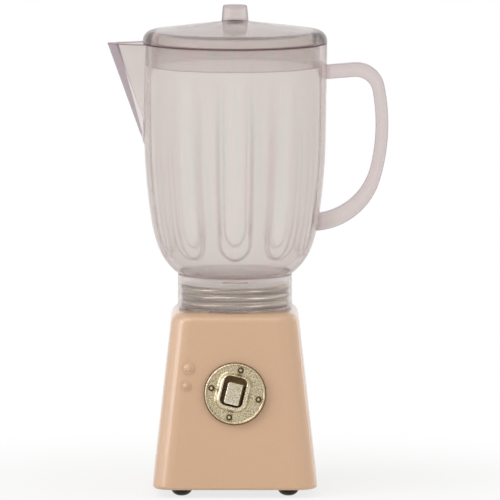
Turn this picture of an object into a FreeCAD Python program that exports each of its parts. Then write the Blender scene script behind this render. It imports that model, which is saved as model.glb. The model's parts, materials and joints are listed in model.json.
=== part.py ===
"""Toy blender: square enamelled base with a turning dial, clear fluted jug and lid.

Millimetres, +Z up. The origin is on the blender's upright axis, in the plane that
the four feet stand on. The dial faces -Y, the spout -X and the handle +X.
"""
import FreeCAD, Part
import math
import os
import re

import Sketcher
from FreeCAD import Placement, Rotation, Vector

SIZES = {
    # square base housing, measured from its lower edge
    "base_bottom_width": 30.4,
    "base_top_width": 23.2,
    "base_height": 32.3,
    "base_wall": 1.2,
    "base_corner_radius": 3.75,
    "cavity_corner_radius": 1.6,
    "base_top_rounding": 2.0,
    "base_rim_rounding": 0.6,
    "post_radius": 2.6,
    "post_cap": 1.8,
    "post_rib_width": 0.9,
    "cutter_overrun": 1.0,
    "plate_thickness": 1.2,
    "plate_clearance": 0.1,
    # feet: domed screws through the base plate into the housing's posts
    "foot_inset": 5.35,
    "foot_height": 1.5,
    "foot_radius": 2.0,
    "foot_flat_radius": 0.6,
    "foot_dome_radius": 1.75,
    "foot_edge_height": 0.3,
    "foot_shank_radius": 0.8,
    "foot_shank_length": 6.2,
    "screw_clearance": 0.05,
    # ribbed collar on the housing's top and the screw that holds it
    "collar_radius": 9.95,
    "collar_height": 4.6,
    "collar_floor": 3.3,
    "collar_recess_radius": 2.5,
    "collar_bead_half_width": 0.57,
    "collar_bead_depth": 0.22,
    "collar_foot_band": 0.3,
    "screw_radius": 1.2,
    "screw_head_radius": 2.3,
    "screw_head_height": 1.2,
    "screw_head_rim": 0.6,
    "screw_head_rounding": 1.15,
    "screw_crown_radius": 1.4,
    "screw_slot_width": 0.5,
    "screw_slot_depth": 0.6,
    "screw_tail_length": 0.6,
    "washer_radius": 2.9,
    "washer_thickness": 0.4,
    "nut_radius": 2.5,
    "nut_height": 1.6,
    # dial on the leaning front face
    "dial_centre_height": 17.7,
    "dial_turn": 13.8,
    "dial_gap": 0.15,
    "dial_radius": 5.76,
    "dial_thickness": 0.75,
    "dial_side_taper": 0.2,
    "dial_rim_width": 0.38,
    "dial_rim_height": 0.2,
    "bezel_width": 6.7,
    "bezel_length": 7.5,
    "bezel_corner_radius": 2.3,
    "bezel_height": 0.75,
    "bezel_slope_width": 0.7,
    "recess_width": 4.6,
    "recess_length": 6.2,
    "recess_corner_radius": 1.2,
    "recess_depth": 1.05,
    "recess_slope_width": 0.3,
    "grip_width": 2.7,
    "grip_length": 4.3,
    "grip_corner_radius": 0.3,
    "grip_height": 1.5,
    "grip_slope_width": 0.12,
    "stem_radius": 1.0,
    "stem_clearance": 0.05,
    "stem_tail_length": 0.5,
    "spring_washer_radius": 2.2,
    "spring_washer_thickness": 0.3,
    "spring_washer_rise": 0.2,
    "spring_washer_gap": 0.1,
    "retainer_radius": 1.8,
    "retainer_thickness": 0.6,
    "rivet_circle_radius": 4.46,
    "rivet_head_radius": 0.56,
    "rivet_head_height": 0.42,
    "rivet_shank_radius": 0.28,
    # painted indicator studs left of the dial
    "stud_upper_radius": 1.05,
    "stud_upper_offset": 8.65,
    "stud_upper_height": 22.4,
    "stud_lower_radius": 0.85,
    "stud_lower_offset": 9.05,
    "stud_lower_height": 19.15,
    "stud_ring_height": 0.24,
    "stud_ring_width": 0.26,
    "stud_dome_height": 0.38,
    "stud_shank_radius": 0.35,
    "stud_tail_length": 0.3,
    "stud_retainer_radius": 0.9,
    "stud_retainer_thickness": 0.4,
    # clear jug, measured from the lower edge of its neck skirt
    "jug_height": 49.2,
    "jug_straight_radius": 16.8,
    "jug_straight_height": 32.2,
    "jug_rim_flare": 0.25,
    "bell_upper_radius": 115.0,
    "bell_upper_height": 16.2,
    "bell_middle_radius": 24.7,
    "bell_middle_height": 11.4,
    "bell_lower_radius": 10.85,
    "jug_ridge_wall": 1.35,
    "jug_flute_wall": 0.85,
    "neck_radius": 10.55,
    "neck_wall": 0.4,
    "neck_land": 0.08,
    "floor_height": 6.2,
    "floor_thickness": 0.7,
    # flutes inside the jug's wall
    "flute_radius": 4.3,
    "flute_chord_depth": 2.2,
    "flute_top_height": 42.5,
    "flute_top_runout": 4.0,
    "flute_top_turn": 40.0,
    "flute_bottom_height": 12.5,
    "flute_bottom_runout": 6.0,
    "flute_bottom_turn": 57.0,
    # beak spout, with its nose line falling from the rim to the wall
    "spout_reach": 23.6,
    "spout_half_width": 5.2,
    "spout_nose_radius": 1.8,
    "spout_nose_wall": 1.6,
    "spout_wall": 1.0,
    "spout_drop": 18.8,
    "spout_foot_half_width": 0.9,
    "spout_foot_nose_radius": 0.6,
    "channel_nose_radius": 0.9,
    "channel_foot_half_width": 0.6,
    "channel_foot_nose_radius": 0.4,
    # loop handle opposite the spout
    "handle_depth": 3.6,
    "handle_edge_rounding": 0.9,
    "handle_drop": 4.15,
    "handle_top_thickness": 2.6,
    "handle_top_run": 5.0,
    "handle_top_rise": 0.5,
    "handle_reach": 11.3,
    "handle_reach_height": 34.2,
    "handle_back_radius": 36.0,
    "handle_back_thickness": 2.35,
    "handle_elbow_height": 23.7,
    "handle_elbow_radius": 13.2,
    "handle_inner_elbow_lift": 2.6,
    "handle_inner_elbow_radius": 11.5,
    "handle_foot_reach": 14.3,
    # clear lid, measured from the jug's rim
    "lid_edge_height": 0.35,
    "lid_shoulder_radius": 2.0,
    "lid_crown_height": 4.125,
    "lid_thickness": 0.9,
    "lid_skirt_clearance": 0.2,
    "lid_skirt_wall": 0.9,
    "lid_skirt_length": 4.3,
    # knob on the lid
    "knob_radius": 2.5,
    "knob_top_radius": 2.26,
    "knob_height": 2.875,
    "knob_rounding": 0.35,
    "spigot_radius": 1.5,
    "spigot_length": 1.1,
}

FLUTES = 10
BEADS = 3

# places that several pieces share, as expressions of the sheet's cells
LEAN = "atan((base_bottom_width - base_top_width) / 2 / base_height)"
BASE_TOP = "(foot_height + base_height)"
JUG_RIM = "(foot_height + base_height + jug_height)"
JUG_RADIUS = "(jug_straight_radius + jug_rim_flare)"
WALL_DEPTH = f"(base_wall * cos({LEAN}))"
FOOT_PLACE = "(base_bottom_width / 2 - foot_inset)"
POST_TOP = "(foot_shank_length + post_cap)"
HANDLE_CENTRE = f"({JUG_RADIUS} + handle_reach - handle_back_radius)"
NECK_ROUNDING = "(neck_wall - neck_land)"
LID_SKIRT_RADIUS = f"({JUG_RADIUS} - jug_ridge_wall - lid_skirt_clearance)"
PLATE_FACE = "(dial_gap + dial_thickness)"
RECESS_FLOOR = f"({PLATE_FACE} + bezel_height - recess_depth)"
LID_RUN = f"({JUG_RADIUS} - lid_shoulder_radius - spigot_radius)"
LID_FALL = "(lid_crown_height - lid_edge_height)"
LID_REACH = f"sqrt({LID_FALL}^2 + {LID_RUN}^2)"
LID_SLOPE = f"(atan({LID_FALL} / {LID_RUN}) - asin(lid_shoulder_radius / {LID_REACH}))"
DIAL_STACK = f"({WALL_DEPTH} + spring_washer_gap + spring_washer_thickness + spring_washer_rise)"

doc = FreeCAD.newDocument("toy_blender")
sheet = doc.addObject("Spreadsheet::Sheet", "Sizes")


def fill_sheet():
    """One row to a driving size: its name, and the cell that carries the name."""
    for row, (alias, value) in enumerate(SIZES.items(), start=1):
        sheet.set(f"A{row}", alias)
        sheet.set(f"B{row}", str(value))
        sheet.setAlias(f"B{row}", alias)
    doc.recompute()


def size(expression):
    """Value of an expression of the sheet's cells."""
    value = sheet.evalExpression(expression)
    return float(getattr(value, "Value", value))


def bind(obj, path, expression):
    """Ties one property to the sheet; every cell's name holds an underscore."""
    obj.setExpression(path, re.sub(r"\b([a-z]+_[a-z_]+)\b", r"Sizes.\1", expression))


# ---------------------------------------------------------------- sketches


def new_body(name):
    body = doc.addObject("PartDesign::Body", name)
    body.Label = name
    return body


def origin_item(body, role):
    return next(item for item in body.Origin.OriginFeatures if item.Role == role)


def new_sketch(body, name, role, lift=None):
    """Sketch on one of the body's own origin planes, or lifted along its normal."""
    sketch = body.newObject("Sketcher::SketchObject", name)
    sketch.AttachmentSupport = [(origin_item(body, role), "")]
    sketch.MapMode = "FlatFace"
    if lift:
        bind(sketch, "AttachmentOffset.Base.z", lift)
    return sketch


def constrain(sketch, expression, kind, *where):
    """Adds a constraint with a value and ties it to the sheet."""
    index = sketch.addConstraint(Sketcher.Constraint(kind, *where, size(expression)))
    bind(sketch, f"Constraints[{index}]", expression)


def arc_between(start, end, radius, centre_on_left):
    """Minor arc from start to end and its centre, as points in the sketch."""
    chord = end - start
    height = math.sqrt(max(radius**2 - (chord.Length / 2) ** 2, 0.0))
    left = Vector(-chord.y, chord.x, 0).normalize()
    centre = (start + end) * 0.5 + left * (height if centre_on_left else -height)
    first, last = (start, end) if centre_on_left else (end, start)
    angles = [math.atan2(p.y - centre.y, p.x - centre.x) for p in (first, last)]
    return Part.ArcOfCircle(Part.Circle(centre, Vector(0, 0, 1), radius), *angles)


def guess(place):
    """Number for a place given as an expression, or as the solver's starting number."""
    return size(place) if isinstance(place, str) else place


def fix_point(sketch, side, end, axis, place):
    """Fixes one coordinate of a side's end; the text "0" puts it on the axis."""
    if not isinstance(place, str):
        return
    if place == "0":
        on = -2 if axis == "X" else -1
        sketch.addConstraint(Sketcher.Constraint("PointOnObject", side, end, on))
    elif size(place) < 0:
        constrain(sketch, f"-({place})", f"Distance{axis}", side, end, -1, 1)
    else:
        constrain(sketch, place, f"Distance{axis}", -1, 1, side, end)


def outline(sketch, corners, arcs=None, smooth=(), closed=True):
    """Runs lines and arcs through the corners and returns each side's number.

    A corner is a pair of places: text is an expression of the sheet's cells, and a
    number is only where the solver starts from. arcs gives the side that starts at a
    corner its radius, likewise, and the hand its centre is on. smooth lists the corners
    where two sides meet in a tangent.
    """
    arcs = arcs or {}
    points = [Vector(guess(x), guess(y), 0) for x, y in corners]
    count = len(points) if closed else len(points) - 1
    sides = []
    starts = []
    for number in range(count):
        start, end = points[number], points[(number + 1) % len(points)]
        if number in arcs:
            radius, hand = arcs[number]
            curve = arc_between(start, end, guess(radius), hand == "left")
            starts.append(1 if hand == "left" else 2)
        else:
            curve = Part.LineSegment(start, end)
            starts.append(1)
        sides.append(sketch.addGeometry(curve))
    for number in range(count if closed else count - 1):
        following = (number + 1) % count
        kind = "Tangent" if following in smooth else "Coincident"
        meeting = (sides[number], 3 - starts[number], sides[following], starts[following])
        sketch.addConstraint(Sketcher.Constraint(kind, *meeting))
    for number, corner in enumerate(corners):
        side, end = (number, starts[number]) if number < count else (count - 1, 3 - starts[-1])
        fix_point(sketch, sides[side], end, "X", corner[0])
        fix_point(sketch, sides[side], end, "Y", corner[1])
    for number, (radius, _) in arcs.items():
        if isinstance(radius, str):
            constrain(sketch, radius, "Radius", sides[number])
    return sides


def rounded_rectangle(sketch, half_width, half_length, radius):
    """Rectangle about the sketch's origin with four equal rounded corners."""
    w, l, r = (f"({text})" for text in (half_width, half_length, radius))
    corners = [
        (f"{w} - {r}", f"-{l}"), (w, f"{r} - {l}"), (w, f"{l} - {r}"), (f"{w} - {r}", l),
        (f"{r} - {w}", l), (f"-{w}", f"{l} - {r}"), (f"-{w}", f"{r} - {l}"), (f"{r} - {w}", f"-{l}"),
    ]
    outline(sketch, corners, {side: (radius, "left") for side in (0, 2, 4, 6)})


def circles(sketch, radius, centres):
    """One circle of the same radius round each centre."""
    for x, y in centres:
        spot = Vector(size(x), size(y), 0)
        item = sketch.addGeometry(Part.Circle(spot, Vector(0, 0, 1), size(radius)))
        fix_point(sketch, item, 3, "X", x)
        fix_point(sketch, item, 3, "Y", y)
        constrain(sketch, radius, "Radius", item)


# ---------------------------------------------------------------- features


def pad(body, name, sketch, length):
    feature = body.newObject("PartDesign::Pad", name)
    feature.Profile = sketch
    bind(feature, "Length", length)
    return feature


def pocket(body, name, sketch, length, upwards=False):
    """Cuts below the sketch, or above it, and makes sure that it took something away."""
    doc.recompute()
    before = body.Shape.Volume
    feature = body.newObject("PartDesign::Pocket", name)
    feature.Profile = sketch
    feature.Reversed = upwards
    bind(feature, "Length", length)
    doc.recompute()
    if body.Shape.Volume > before - 1e-6:
        raise RuntimeError(f"{name} cuts nothing")
    return feature


def revolution(body, name, sketch):
    """Full turn of the sketch about its own upright axis."""
    feature = body.newObject("PartDesign::Revolution", name)
    feature.Profile = sketch
    feature.ReferenceAxis = (sketch, ["V_Axis"])
    feature.Angle = 360
    return feature


def loft(body, name, kind, first, last):
    feature = body.newObject(f"PartDesign::{kind}Loft", name)
    feature.Profile = first
    feature.Sections = [last]
    feature.Ruled = True
    return feature


def fillet(body, name, radius, wanted):
    """Rounds the edges of the body that the function wanted picks."""
    doc.recompute()
    tip = body.Tip
    edges = [f"Edge{i}" for i, edge in enumerate(tip.Shape.Edges, start=1) if wanted(edge)]
    feature = body.newObject("PartDesign::Fillet", name)
    feature.Base = (tip, edges)
    bind(feature, "Radius", radius)
    return feature


def lies_at(height):
    """Picks the edges that lie flat at one height."""
    return lambda edge: abs(edge.BoundBox.ZMin - height) < 1e-4 and edge.BoundBox.ZLength < 1e-4


def turned(name, corners, arcs=None, smooth=()):
    """Body turned from a half section: places across are radii, places up are heights."""
    body = new_body(name)
    sketch = new_sketch(body, f"{name}_section", "XZ_Plane")
    outline(sketch, corners, arcs, smooth)
    revolution(body, f"{name}_turn", sketch)
    return body


def lift(obj, height):
    bind(obj, "Placement.Base.z", height)
    return obj


def bulge_radius(half_width, rise):
    """Radius of the arc that rises by an amount over a chord, given half the chord."""
    return f"(({half_width} * {half_width} + {rise} * {rise}) / 2 / {rise})"


def cylinder(name, radius, length, placement):
    """Plain cylinder that rises along its own axis from the placement."""
    tool = doc.addObject("Part::Cylinder", name)
    bind(tool, "Radius", radius)
    bind(tool, "Height", length)
    tool.Placement = placement
    return tool


def cut(name, base, tool):
    result = doc.addObject("Part::Cut", name)
    result.Label = name
    result.Base = base
    result.Tool = tool
    return result


def fuse(name, shapes):
    result = doc.addObject("Part::MultiFuse", name)
    result.Shapes = shapes
    return result


def on_front(across, height, turn=0.0):
    """Frame on the leaning front face: Z points out of it and Y runs up it."""
    lean = size(LEAN)
    rise = size(height)
    y = rise * math.tan(math.radians(lean)) - size("base_bottom_width") / 2
    spot = Vector(across, y, rise + size("foot_height"))
    return Placement(spot, Rotation(Vector(1, 0, 0), 90 - lean)) * Placement(
        Vector(), Rotation(Vector(0, 0, 1), -turn)
    )


def dial_frame():
    return on_front(0, "dial_centre_height", size("dial_turn"))


def foot_centres():
    """Names and places of the four feet, front left first as seen from the front."""
    sides = {"left": "-", "right": ""}
    rows = {"front": "-", "rear": ""}
    return {
        f"foot_{row}_{side}": (f"{across}{FOOT_PLACE}", f"{along}{FOOT_PLACE}")
        for row, along in rows.items()
        for side, across in sides.items()
    }


# ---------------------------------------------------------------- base


def base_half(height):
    """Half the outer width of the housing at a height above its lower edge."""
    narrowing = f"(base_bottom_width - base_top_width) / 2 * ({height}) / base_height"
    return f"(base_bottom_width / 2 - {narrowing})"


def rectangle(sketch, half_x, half_y, x="0", y="0"):
    """Plain rectangle about a point, by its half widths."""
    right, left = f"{x} + ({half_x})", f"{x} - ({half_x})"
    back, front = f"{y} + ({half_y})", f"{y} - ({half_y})"
    outline(sketch, [(right, front), (right, back), (left, back), (left, front)])


def tapered_block(name, half, length, corner):
    """Upright square block whose four drafted sides narrow it upwards, its leaning edges rounded."""
    body = new_body(name)
    sketch = new_sketch(body, f"{name}_square", "XY_Plane")
    rectangle(sketch, half, half)
    block = pad(body, f"{name}_block", sketch, length)
    doc.recompute()
    faces = enumerate(block.Shape.Faces, start=1)
    sides = [f"Face{i}" for i, face in faces if face.BoundBox.ZLength > 1e-4]
    draft = body.newObject("PartDesign::Draft", f"{name}_draft")
    draft.Base = (block, sides)
    draft.NeutralPlane = (origin_item(body, "XY_Plane"), [""])
    bind(draft, "Angle", LEAN)
    fillet(body, f"{name}_corners", corner, lambda edge: edge.BoundBox.ZLength > size(length) / 2)
    return body


def housing_outer():
    body = tapered_block("housing_outer", "base_bottom_width / 2", "base_height", "base_corner_radius")
    fillet(body, "housing_top_rounding", "base_top_rounding", lies_at(size("base_height")))
    fillet(body, "housing_rim_rounding", "base_rim_rounding", lies_at(0))
    return body


def housing_cavity():
    """Hollow of the housing, which leaves a post for each foot's shank, ribbed to two walls."""
    ceiling = "(base_height - base_wall)"
    body = tapered_block("housing_cavity", "base_bottom_width / 2 - base_wall", ceiling,
                         "cavity_corner_radius")
    rise = f"{POST_TOP} - plate_thickness"
    posts = new_sketch(body, "cavity_posts", "XY_Plane", "plate_thickness")
    circles(posts, "post_radius", foot_centres().values())
    pocket(body, "cavity_post_cut", posts, rise, upwards=True)
    middle = f"({FOOT_PLACE} + foot_inset / 2)"
    side_ribs = new_sketch(body, "cavity_side_ribs", "XY_Plane", "plate_thickness")
    end_ribs = new_sketch(body, "cavity_end_ribs", "XY_Plane", "plate_thickness")
    for across in ("-", ""):
        for along in ("-", ""):
            rectangle(side_ribs, "foot_inset / 2", "post_rib_width / 2",
                      f"{across}{middle}", f"{along}{FOOT_PLACE}")
            rectangle(end_ribs, "post_rib_width / 2", "foot_inset / 2",
                      f"{across}{FOOT_PLACE}", f"{along}{middle}")
    pocket(body, "cavity_side_rib_cut", side_ribs, rise, upwards=True)
    pocket(body, "cavity_end_rib_cut", end_ribs, rise, upwards=True)
    return body


def housing_holes():
    """Bores for the dial's stem, the studs, the collar's screw and the feet."""
    through = f"{WALL_DEPTH} + cutter_overrun * 2"
    inwards = Placement(Vector(0, 0, -size(f"{WALL_DEPTH} + cutter_overrun")), Rotation())
    below_top = Placement(Vector(0, 0, size(f"{BASE_TOP} - base_wall - cutter_overrun")), Rotation())
    tools = [
        cylinder("stem_bore", "stem_radius + stem_clearance", through, dial_frame() * inwards),
        cylinder("collar_screw_bore", "screw_radius + screw_clearance",
                 "base_wall + cutter_overrun * 2", below_top),
    ]
    for name in ("upper", "lower"):
        place = on_front(-size(f"stud_{name}_offset"), f"stud_{name}_height")
        tools.append(cylinder(f"stud_{name}_bore", "stud_shank_radius + screw_clearance", through,
                              place * inwards))
    for name, (x, y) in foot_centres().items():
        spot = Vector(size(x), size(y), size("foot_height"))
        tools.append(cylinder(f"{name}_pilot", "foot_shank_radius + screw_clearance",
                              "foot_shank_length + screw_clearance", Placement(spot, Rotation())))
    return fuse("housing_holes", tools)


def base_housing():
    outer, cavity = lift(housing_outer(), "foot_height"), lift(housing_cavity(), "foot_height")
    return cut("base_housing", cut("housing_shell", outer, cavity), housing_holes())


def base_plate():
    body = new_body("base_plate")
    sketch = new_sketch(body, "plate_outline", "XY_Plane")
    half = f"{base_half('plate_thickness')} - base_wall - plate_clearance"
    rounded_rectangle(sketch, half, half, "cavity_corner_radius - plate_clearance")
    circles(sketch, "foot_shank_radius + screw_clearance", foot_centres().values())
    pad(body, "plate_pad", sketch, "plate_thickness")
    return lift(body, "foot_height")


def foot(name, x, y):
    """Domed screw: the head stands on a small flat and the shank goes up into its post."""
    corners = [
        ("0", "0"), ("foot_flat_radius", "0"),
        ("foot_radius", "foot_height - foot_edge_height"), ("foot_radius", "foot_height"),
        ("foot_shank_radius", "foot_height"),
        ("foot_shank_radius", "foot_height + foot_shank_length"),
        ("0", "foot_height + foot_shank_length"),
    ]
    body = turned(name, corners, {1: ("foot_dome_radius", "left")})
    bind(body, "Placement.Base.x", x)
    bind(body, "Placement.Base.y", y)
    return body


# ---------------------------------------------------------------- collar


def jug_collar():
    """Flat-topped seat with rounded beads, its screw's head sunk in a counterbore."""
    root = "(collar_radius - collar_bead_depth)"
    pitch = f"((collar_height - collar_foot_band) / {BEADS})"
    bend = bulge_radius("collar_bead_half_width", "collar_bead_depth")
    corners = [("screw_radius + screw_clearance", "0"), (root, "0")]
    arcs = {}
    for bead in range(BEADS):
        middle = f"collar_foot_band + {pitch} * {bead + 0.5}"
        corners.append((root, f"{middle} - collar_bead_half_width"))
        arcs[len(corners) - 1] = (bend, "left")
        corners.append((root, f"{middle} + collar_bead_half_width"))
    corners += [
        (root, "collar_height"), ("collar_recess_radius", "collar_height"),
        ("collar_recess_radius", "collar_floor"), ("screw_radius + screw_clearance", "collar_floor"),
    ]
    return lift(turned("jug_collar", corners, arcs), BASE_TOP)


def collar_screw():
    """Slotted pan-head screw that hangs from the collar's floor, its tail past the nut."""
    tail = "(collar_floor + base_wall + washer_thickness + nut_height + screw_tail_length)"
    corners = [
        ("0", f"-{tail}"), ("screw_radius", f"-{tail}"), ("screw_radius", "0"),
        ("screw_head_radius", "0"), ("screw_head_radius", "screw_head_rim"),
        ("screw_crown_radius", "screw_head_height"), ("0", "screw_head_height"),
    ]
    body = turned("collar_screw", corners, {4: ("screw_head_rounding", "left")})
    slot = new_sketch(body, "screw_slot", "XY_Plane", "screw_head_height")
    rectangle(slot, "screw_head_radius + cutter_overrun", "screw_slot_width / 2")
    pocket(body, "screw_slot_cut", slot, "screw_slot_depth")
    return lift(body, f"{BASE_TOP} + collar_floor")


def collar_washer():
    corners = [
        ("screw_radius + screw_clearance", "0"), ("washer_radius", "0"),
        ("washer_radius", "washer_thickness"), ("screw_radius + screw_clearance", "washer_thickness"),
    ]
    return lift(turned("collar_washer", corners), f"{BASE_TOP} - base_wall - washer_thickness")


def collar_nut():
    blank = doc.addObject("Part::Prism", "nut_blank")
    blank.Polygon = 6
    bind(blank, "Circumradius", "nut_radius")
    bind(blank, "Height", "nut_height")
    bore = cylinder("nut_bore", "screw_radius", "nut_height", Placement())
    return lift(cut("collar_nut", blank, bore), f"{BASE_TOP} - base_wall - washer_thickness - nut_height")


# ---------------------------------------------------------------- dial and studs


def dial_plate():
    """Round casting with a tapered side, a lip and a raised oblong bezel that holds the grip."""
    lip = f"{PLATE_FACE} + dial_rim_height"
    edge = "(dial_radius - dial_side_taper)"
    corners = [
        ("stem_radius", "dial_gap"), ("dial_radius", "dial_gap"),
        (edge, f"{lip} - dial_rim_width / 2"), (f"{edge} - dial_rim_width / 2", lip),
        (f"{edge} - dial_rim_width", PLATE_FACE), ("stem_radius", PLATE_FACE),
    ]
    body = turned("dial_plate", corners, {2: ("dial_rim_width / 2", "left")})
    foot_sketch = new_sketch(body, "bezel_foot", "XY_Plane", f"{PLATE_FACE} - dial_rim_height")
    rounded_rectangle(foot_sketch, "bezel_width / 2", "bezel_length / 2", "bezel_corner_radius")
    brow = new_sketch(body, "bezel_brow", "XY_Plane", f"{PLATE_FACE} + bezel_height")
    rounded_rectangle(brow, "bezel_width / 2 - bezel_slope_width", "bezel_length / 2 - bezel_slope_width",
                      "bezel_corner_radius - bezel_slope_width")
    loft(body, "bezel", "Additive", foot_sketch, brow)
    floor = new_sketch(body, "recess_floor", "XY_Plane", RECESS_FLOOR)
    rounded_rectangle(floor, "recess_width / 2 - recess_slope_width",
                      "recess_length / 2 - recess_slope_width",
                      "recess_corner_radius - recess_slope_width")
    mouth = new_sketch(body, "recess_mouth", "XY_Plane", f"{PLATE_FACE} + bezel_height")
    rounded_rectangle(mouth, "recess_width / 2", "recess_length / 2", "recess_corner_radius")
    loft(body, "recess", "Subtractive", floor, mouth)
    holes = new_sketch(body, "plate_holes", "XY_Plane", "dial_gap")
    circles(holes, "stem_radius", [("0", "0")])
    circles(holes, "rivet_shank_radius", rivet_centres())
    pocket(body, "plate_holes_cut", holes, "dial_thickness + bezel_height", upwards=True)
    body.Placement = dial_frame()
    return body


def rivet_centres():
    """Places of the rivets, each on an axis of the dial."""
    reach = "rivet_circle_radius"
    return [(reach, "0"), ("0", reach), (f"-{reach}", "0"), ("0", f"-{reach}")]


def dial_rivets():
    """Domed rivets through the dial plate, one solid each."""
    rivets = []
    for number, (x, y) in enumerate(rivet_centres(), start=1):
        corners = [
            ("0", "dial_gap"), ("rivet_shank_radius", "dial_gap"), ("rivet_shank_radius", PLATE_FACE),
            ("rivet_head_radius", PLATE_FACE), ("0", f"{PLATE_FACE} + rivet_head_height"),
        ]
        dome = bulge_radius("rivet_head_radius", "rivet_head_height")
        rivet = turned(f"dial_rivet_{number}", corners, {3: (dome, "left")})
        rivet.Placement = dial_frame() * Placement(Vector(size(x), size(y), 0), Rotation())
        rivets.append(rivet)
    group = doc.addObject("Part::Compound", "dial_rivets")
    group.Label = "dial_rivets"
    group.Links = rivets
    return group


def dial_grip():
    """Finger block in the recess, on a stem that runs through the plate and the housing."""
    body = new_body("dial_grip")
    root = new_sketch(body, "grip_root", "XY_Plane", RECESS_FLOOR)
    rounded_rectangle(root, "grip_width / 2", "grip_length / 2", "grip_corner_radius")
    face = new_sketch(body, "grip_face", "XY_Plane", f"{RECESS_FLOOR} + grip_height")
    rounded_rectangle(face, "grip_width / 2 - grip_slope_width", "grip_length / 2 - grip_slope_width",
                      "grip_corner_radius")
    loft(body, "grip_block", "Additive", root, face)
    stem = new_sketch(body, "grip_stem_outline", "XY_Plane", RECESS_FLOOR)
    circles(stem, "stem_radius", [("0", "0")])
    tail = f"{DIAL_STACK} + retainer_thickness + stem_tail_length"
    shaft = pad(body, "grip_stem", stem, f"{RECESS_FLOOR} + {tail}")
    shaft.Reversed = True
    body.Placement = dial_frame()
    return body


def dial_spring_washer():
    """Shallow spring cone between the housing's inner face and the retainer."""
    top = f"-({WALL_DEPTH} + spring_washer_gap)"
    corners = [
        ("stem_radius", f"{top} - spring_washer_rise - spring_washer_thickness"),
        ("stem_radius", f"{top} - spring_washer_rise"), ("spring_washer_radius", top),
        ("spring_washer_radius", f"{top} - spring_washer_thickness"),
    ]
    body = turned("dial_spring_washer", corners)
    body.Placement = dial_frame()
    return body


def dial_retainer():
    """Ring pressed on the stem's end."""
    corners = [
        ("stem_radius", f"-({DIAL_STACK} + retainer_thickness)"),
        ("retainer_radius", f"-({DIAL_STACK} + retainer_thickness)"),
        ("retainer_radius", f"-{DIAL_STACK}"), ("stem_radius", f"-{DIAL_STACK}"),
    ]
    body = turned("dial_retainer", corners)
    body.Placement = dial_frame()
    return body


def indicator_stud(name):
    """Painted button head: a flat ring round a low dome, on a shank through the wall."""
    radius = f"stud_{name}_radius"
    end = f"({WALL_DEPTH} + stud_retainer_thickness + stud_tail_length)"
    dome_edge = f"({radius} - stud_ring_width)"
    dome = bulge_radius(dome_edge, "stud_dome_height")
    corners = [
        ("0", f"-{end}"), ("stud_shank_radius", f"-{end}"), ("stud_shank_radius", "0"), (radius, "0"),
        (radius, "stud_ring_height"), (dome_edge, "stud_ring_height"),
        ("0", "stud_ring_height + stud_dome_height"),
    ]
    body = turned(f"indicator_stud_{name}", corners, {5: (dome, "left")})
    body.Placement = on_front(-size(f"stud_{name}_offset"), f"stud_{name}_height")
    return body


def stud_retainers():
    """Push-on rings on the studs' shanks, against the housing's inner face."""
    rings = []
    for name in ("upper", "lower"):
        corners = [
            ("stud_shank_radius", f"-({WALL_DEPTH} + stud_retainer_thickness)"),
            ("stud_retainer_radius", f"-({WALL_DEPTH} + stud_retainer_thickness)"),
            ("stud_retainer_radius", f"-{WALL_DEPTH}"), ("stud_shank_radius", f"-{WALL_DEPTH}"),
        ]
        ring = turned(f"stud_retainer_{name}", corners)
        ring.Placement = on_front(-size(f"stud_{name}_offset"), f"stud_{name}_height")
        rings.append(ring)
    group = doc.addObject("Part::Compound", "stud_retainers")
    group.Label = "stud_retainers"
    group.Links = rings
    return group


# ---------------------------------------------------------------- jug


def on_arc(centre, bend, slope):
    """Point of an arc where it slopes by an angle from the upright."""
    return centre + Vector(math.cos(slope), -math.sin(slope), 0) * bend


def bell_arcs(inset):
    """Centre, radius and first slope of the wall's three arcs, from the top down.

    The inset is the depth below the wall's outer surface.
    """
    point = Vector(size("jug_straight_radius"), size("jug_straight_height"), 0)
    slope = math.atan2(size("jug_rim_flare"), size("jug_height") - point.y)
    arcs = []
    for name in ("upper", "middle", "lower"):
        bend = size(f"bell_{name}_radius")
        centre = on_arc(point, -bend, slope)
        arcs.append((centre, bend - inset, slope))
        if name != "lower":
            slope = math.asin((centre.y - size(f"bell_{name}_height")) / bend)
            point = on_arc(centre, bend, slope)
    return arcs


def outer_wall():
    """Corners, arcs and smooth corners of the jug's outside from the rim to its neck."""
    upper, middle, lower = bell_arcs(0)
    first = on_arc(upper[0], upper[1], middle[2])
    second = on_arc(middle[0], middle[1], lower[2])
    last = on_arc(*lower[:2], math.acos((size("neck_radius") - lower[0].x) / lower[1]))
    corners = [
        (JUG_RADIUS, "jug_height"), ("jug_straight_radius", "jug_straight_height"),
        (first.x, "bell_upper_height"), (second.x, "bell_middle_height"), ("neck_radius", last.y),
    ]
    names = ("upper", "middle", "lower")
    arcs = {side: (f"bell_{name}_radius", "right") for side, name in enumerate(names, start=1)}
    return corners, arcs, [1, 2, 3]


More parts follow.
